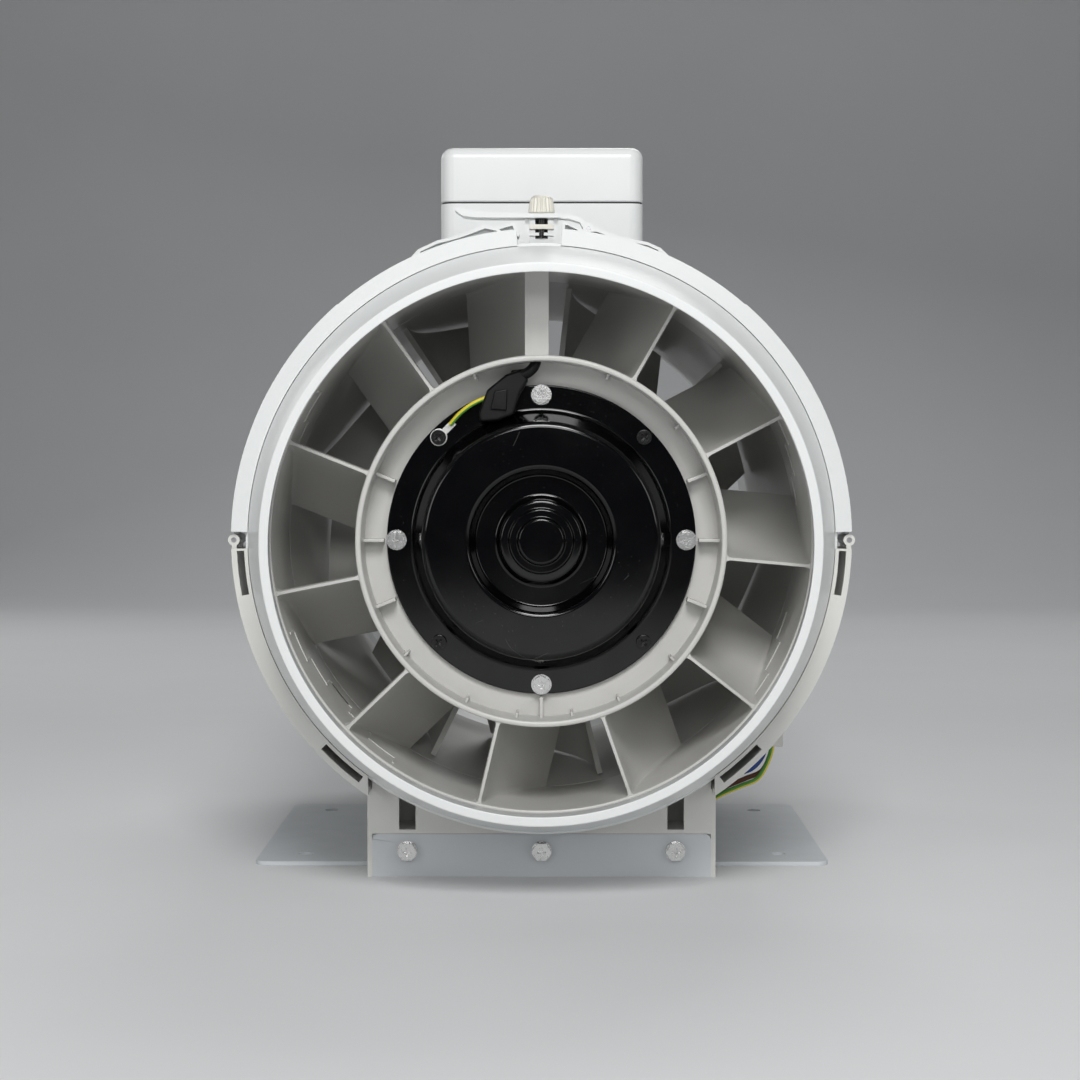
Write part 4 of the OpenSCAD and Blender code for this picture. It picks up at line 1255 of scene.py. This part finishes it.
@dataclass
class TerminalBox:
    """The terminal box on the casing and its screwed lid, with rounded edges."""

    edge_r: float = 0.0069
    top_edge: float = 0.0055
    wall: float = 0.0025
    seam_edge: float = 0.0006
    screw_inset: float = 0.008
    screw_head_r: float = 0.0036
    head_depth: float = 0.003

    def ring(self, size: Vector, centre: Vector, inset: float, z: float) -> list[Vector]:
        """A rounded rectangle, set in from the box's outside.

        Args:
            size: The box's length along each axis.
            centre: The box's middle.
            inset: How far it is set in.
            z: Its height.

        Returns:
            Its points.
        """
        half_x, half_y = size.x / 2 - inset, size.y / 2 - inset
        r = max(self.edge_r - inset, 0.0012)
        points = []
        for quarter in range(4):
            sx = 1 if quarter in (0, 3) else -1
            sy = 1 if quarter in (0, 1) else -1
            for i in range(9):
                a = math.pi / 2 * (quarter + i / 8)
                points.append(Vector((centre.x + sx * (half_x - r) + r * math.cos(a),
                                      centre.y + sy * (half_y - r) + r * math.sin(a), z)))
        return points

    def build(self) -> None:
        """Makes the lid and the base."""
        self.build_lid()
        base = rounded_copy("terminal_box", self.seam_edge, 2, 40)
        Paintbox.dress(base, "white_plastic", FIXED, "terminal_box")

    def build_lid(self) -> None:
        """Lofts the lid and sinks its four screw holes."""
        low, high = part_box("box_lid")
        size = high - low
        centre = (low + high) / 2
        levels = [(self.wall, high.z - self.wall), (self.wall, low.z), (self.seam_edge, low.z),
                  (0.0, low.z + self.seam_edge)]
        for i in range(7):
            a = math.pi / 2 * i / 6
            levels.append((self.top_edge * (1 - math.cos(a)), high.z - self.top_edge * (1 - math.sin(a))))
        lid = rings_to_mesh("box_lid_shell", [self.ring(size, centre, inset, z) for inset, z in levels])
        cutters = []
        for sx in (-1, 1):
            for sy in (-1, 1):
                x = centre.x + sx * (size.x / 2 - self.screw_inset)
                y = centre.y + sy * (size.y / 2 - self.screw_inset)
                cutters.append(self.plug(x, y, high.z - self.head_depth, high.z + 0.001, self.screw_head_r))
        cut_away(lid, cutters)
        smooth_shade(lid)
        Paintbox.dress(lid, "white_plastic", FIXED, "box_lid")

    def plug(self, x: float, y: float, z0: float, z1: float, r: float) -> Piece:
        """An upright round plug, used to cut a hole.

        Args:
            x: Place of its axis along X.
            y: Place of its axis along Y.
            z0: Its lower end.
            z1: Its upper end.
            r: Its radius.

        Returns:
            The plug.
        """
        turns = [2 * math.pi * k / 32 for k in range(32)]
        rings = [[Vector((x + r * math.cos(t), y + r * math.sin(t), z)) for t in turns] for z in (z0, z1)]
        return rings_to_mesh("plug", rings)


# ---------- latches ----------


@dataclass
class Latch:
    """The lever, knob, screw and nut bar that pull a clamp ring's arms together."""

    end: End
    knob_r: float = 0.0063
    flute_depth: float = 0.0006
    flutes: int = 20
    knob_taper: float = 0.0011
    crown: float = 0.0024

    def build(self) -> None:
        """Makes the moving pieces of this end's latch."""
        label = self.end.label
        latch = self.end.body("latch")
        lever = rounded_copy(f"{label}_lever", 0.0005, 3, 30)
        Paintbox.dress(lever, "white_plastic", latch, f"{label}_lever")
        bar = rounded_copy(f"{label}_nut_bar", 0.0004)
        Paintbox.dress(bar, "knob_plastic", latch, f"{label}_nut_bar")
        self.build_knob()
        Paintbox.repaint(f"{label}_screw", "black_oxide")
        Paintbox.repaint(f"{label}_lever_pin", "ground_steel")

    def build_knob(self) -> None:
        """A fluted knob, a little narrower at its top, with a dished crown."""
        node = f"{self.end.label}_knob"
        low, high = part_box(node)
        centre = (low + high) / 2
        height = high.z - low.z
        levels = [(0.0, -0.0006), (0.0005, -0.0001), (0.0012, 0.0), (height - self.crown, 0.0)]
        for i in range(1, 7):
            a = math.pi / 2 * i / 6
            levels.append((height - self.crown * (1 - math.sin(a)), -self.crown * (1 - math.cos(a))))
        levels.append((height, -self.crown - 0.001))
        rings = []
        spans = self.flutes * 6
        for rise, inset in levels:
            radius = self.knob_r + inset - self.knob_taper * rise / height
            flute = self.flute_depth if 0.0008 < rise < height - self.crown * 0.5 else 0.0
            ring = []
            for k in range(spans):
                a = 2 * math.pi * k / spans
                r = radius - flute * (0.5 - 0.5 * math.cos(a * self.flutes))
                ring.append(Vector((centre.x + r * math.cos(a), centre.y + r * math.sin(a), low.z + rise)))
            rings.append(ring)
        knob = rings_to_mesh(f"{self.end.label}_grip_knob", rings)
        smooth_shade(knob, 40)
        Paintbox.dress(knob, "knob_plastic", self.end.body("thumb_screw"), node)


# ---------- pieces that keep the frame's shape ----------


@dataclass
class RoundedPieces:
    """Pieces whose frame shape is right: their edges are rounded, or only their finish changes."""

    rounded: dict[str, tuple[str, float]] = field(default_factory=lambda: {
        "mounting_bracket": ("bracket_paint", 0.0005),
        "bracket_bolts": ("bright_plate", 0.00025),
        "front_cradle": ("support_plastic", 0.0004),
        "rear_cradle": ("support_plastic", 0.0004),
        "fan_casing": ("white_plastic", 0.0005),
        "front_seal": ("seal_rubber", 0.0003),
        "rear_seal": ("seal_rubber", 0.0003),
        "impeller": ("vane_plastic", 0.0005),
        "impeller_cap": ("vane_plastic", 0.0004),
        "impeller_nut": ("bright_plate", 0.0004),
        "motor_can": ("black_enamel", 0.0003),
        "motor_screws": ("bright_plate", 0.0002),
        "shield_screws": ("black_oxide", 0.0003),
        "earth_tag": ("tinned_metal", 0.00015),
        "lid_screws": ("bright_plate", 0.0003),
        "cable_gland": ("gland_plastic", 0.0005),
        "gland_nut": ("gland_plastic", 0.0006),
        "lead_clip": ("support_plastic", 0.0005),
    })
    arm_edge: float = 0.0004
    repainted: dict[str, str] = field(default_factory=lambda: {
        "motor_shaft": "ground_steel", "rotor_core": "laminations", "front_bearing": "ground_steel",
        "rear_bearing": "ground_steel", "stator_core": "laminations", "stator_windings": "copper_wire",
        "box_gasket": "seal_rubber", "terminal_block": "block_plastic", "run_capacitor": "block_plastic",
        "front_hinge_pins": "ground_steel", "rear_hinge_pins": "ground_steel",
    })

    def build(self) -> None:
        """Rounds or repaints every one of these pieces."""
        for node, (slot, width) in self.rounded.items():
            body = frame["nodes"][node]["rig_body"]
            Paintbox.dress(rounded_copy(node, width), slot, body, node)
            LOG.info("rounded %s", node)
        for end in End:
            for side in ("right", "left"):
                node = f"{end.label}_{side}_arm"
                arm = rounded_copy(node, self.arm_edge)
                Paintbox.dress(arm, "white_plastic", frame["nodes"][node]["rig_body"], node)
                LOG.info("rounded %s", node)
        for node, slot in self.repainted.items():
            Paintbox.repaint(node, slot)


def main() -> None:
    """Builds the studio and the fan, in order."""
    logging.basicConfig(level=logging.INFO, format="%(message)s")
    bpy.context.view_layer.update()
    steps = [Studio(), Wiring(), GuideVaneSet(), EndShield(), InletBell(), TerminalBox()]
    steps += [Spigot(end) for end in End]
    steps += [Latch(end) for end in End]
    steps.append(RoundedPieces())
    for step in steps:
        step.build()
        LOG.info("built %s", type(step).__name__)


if __name__ == "__main__":
    main()
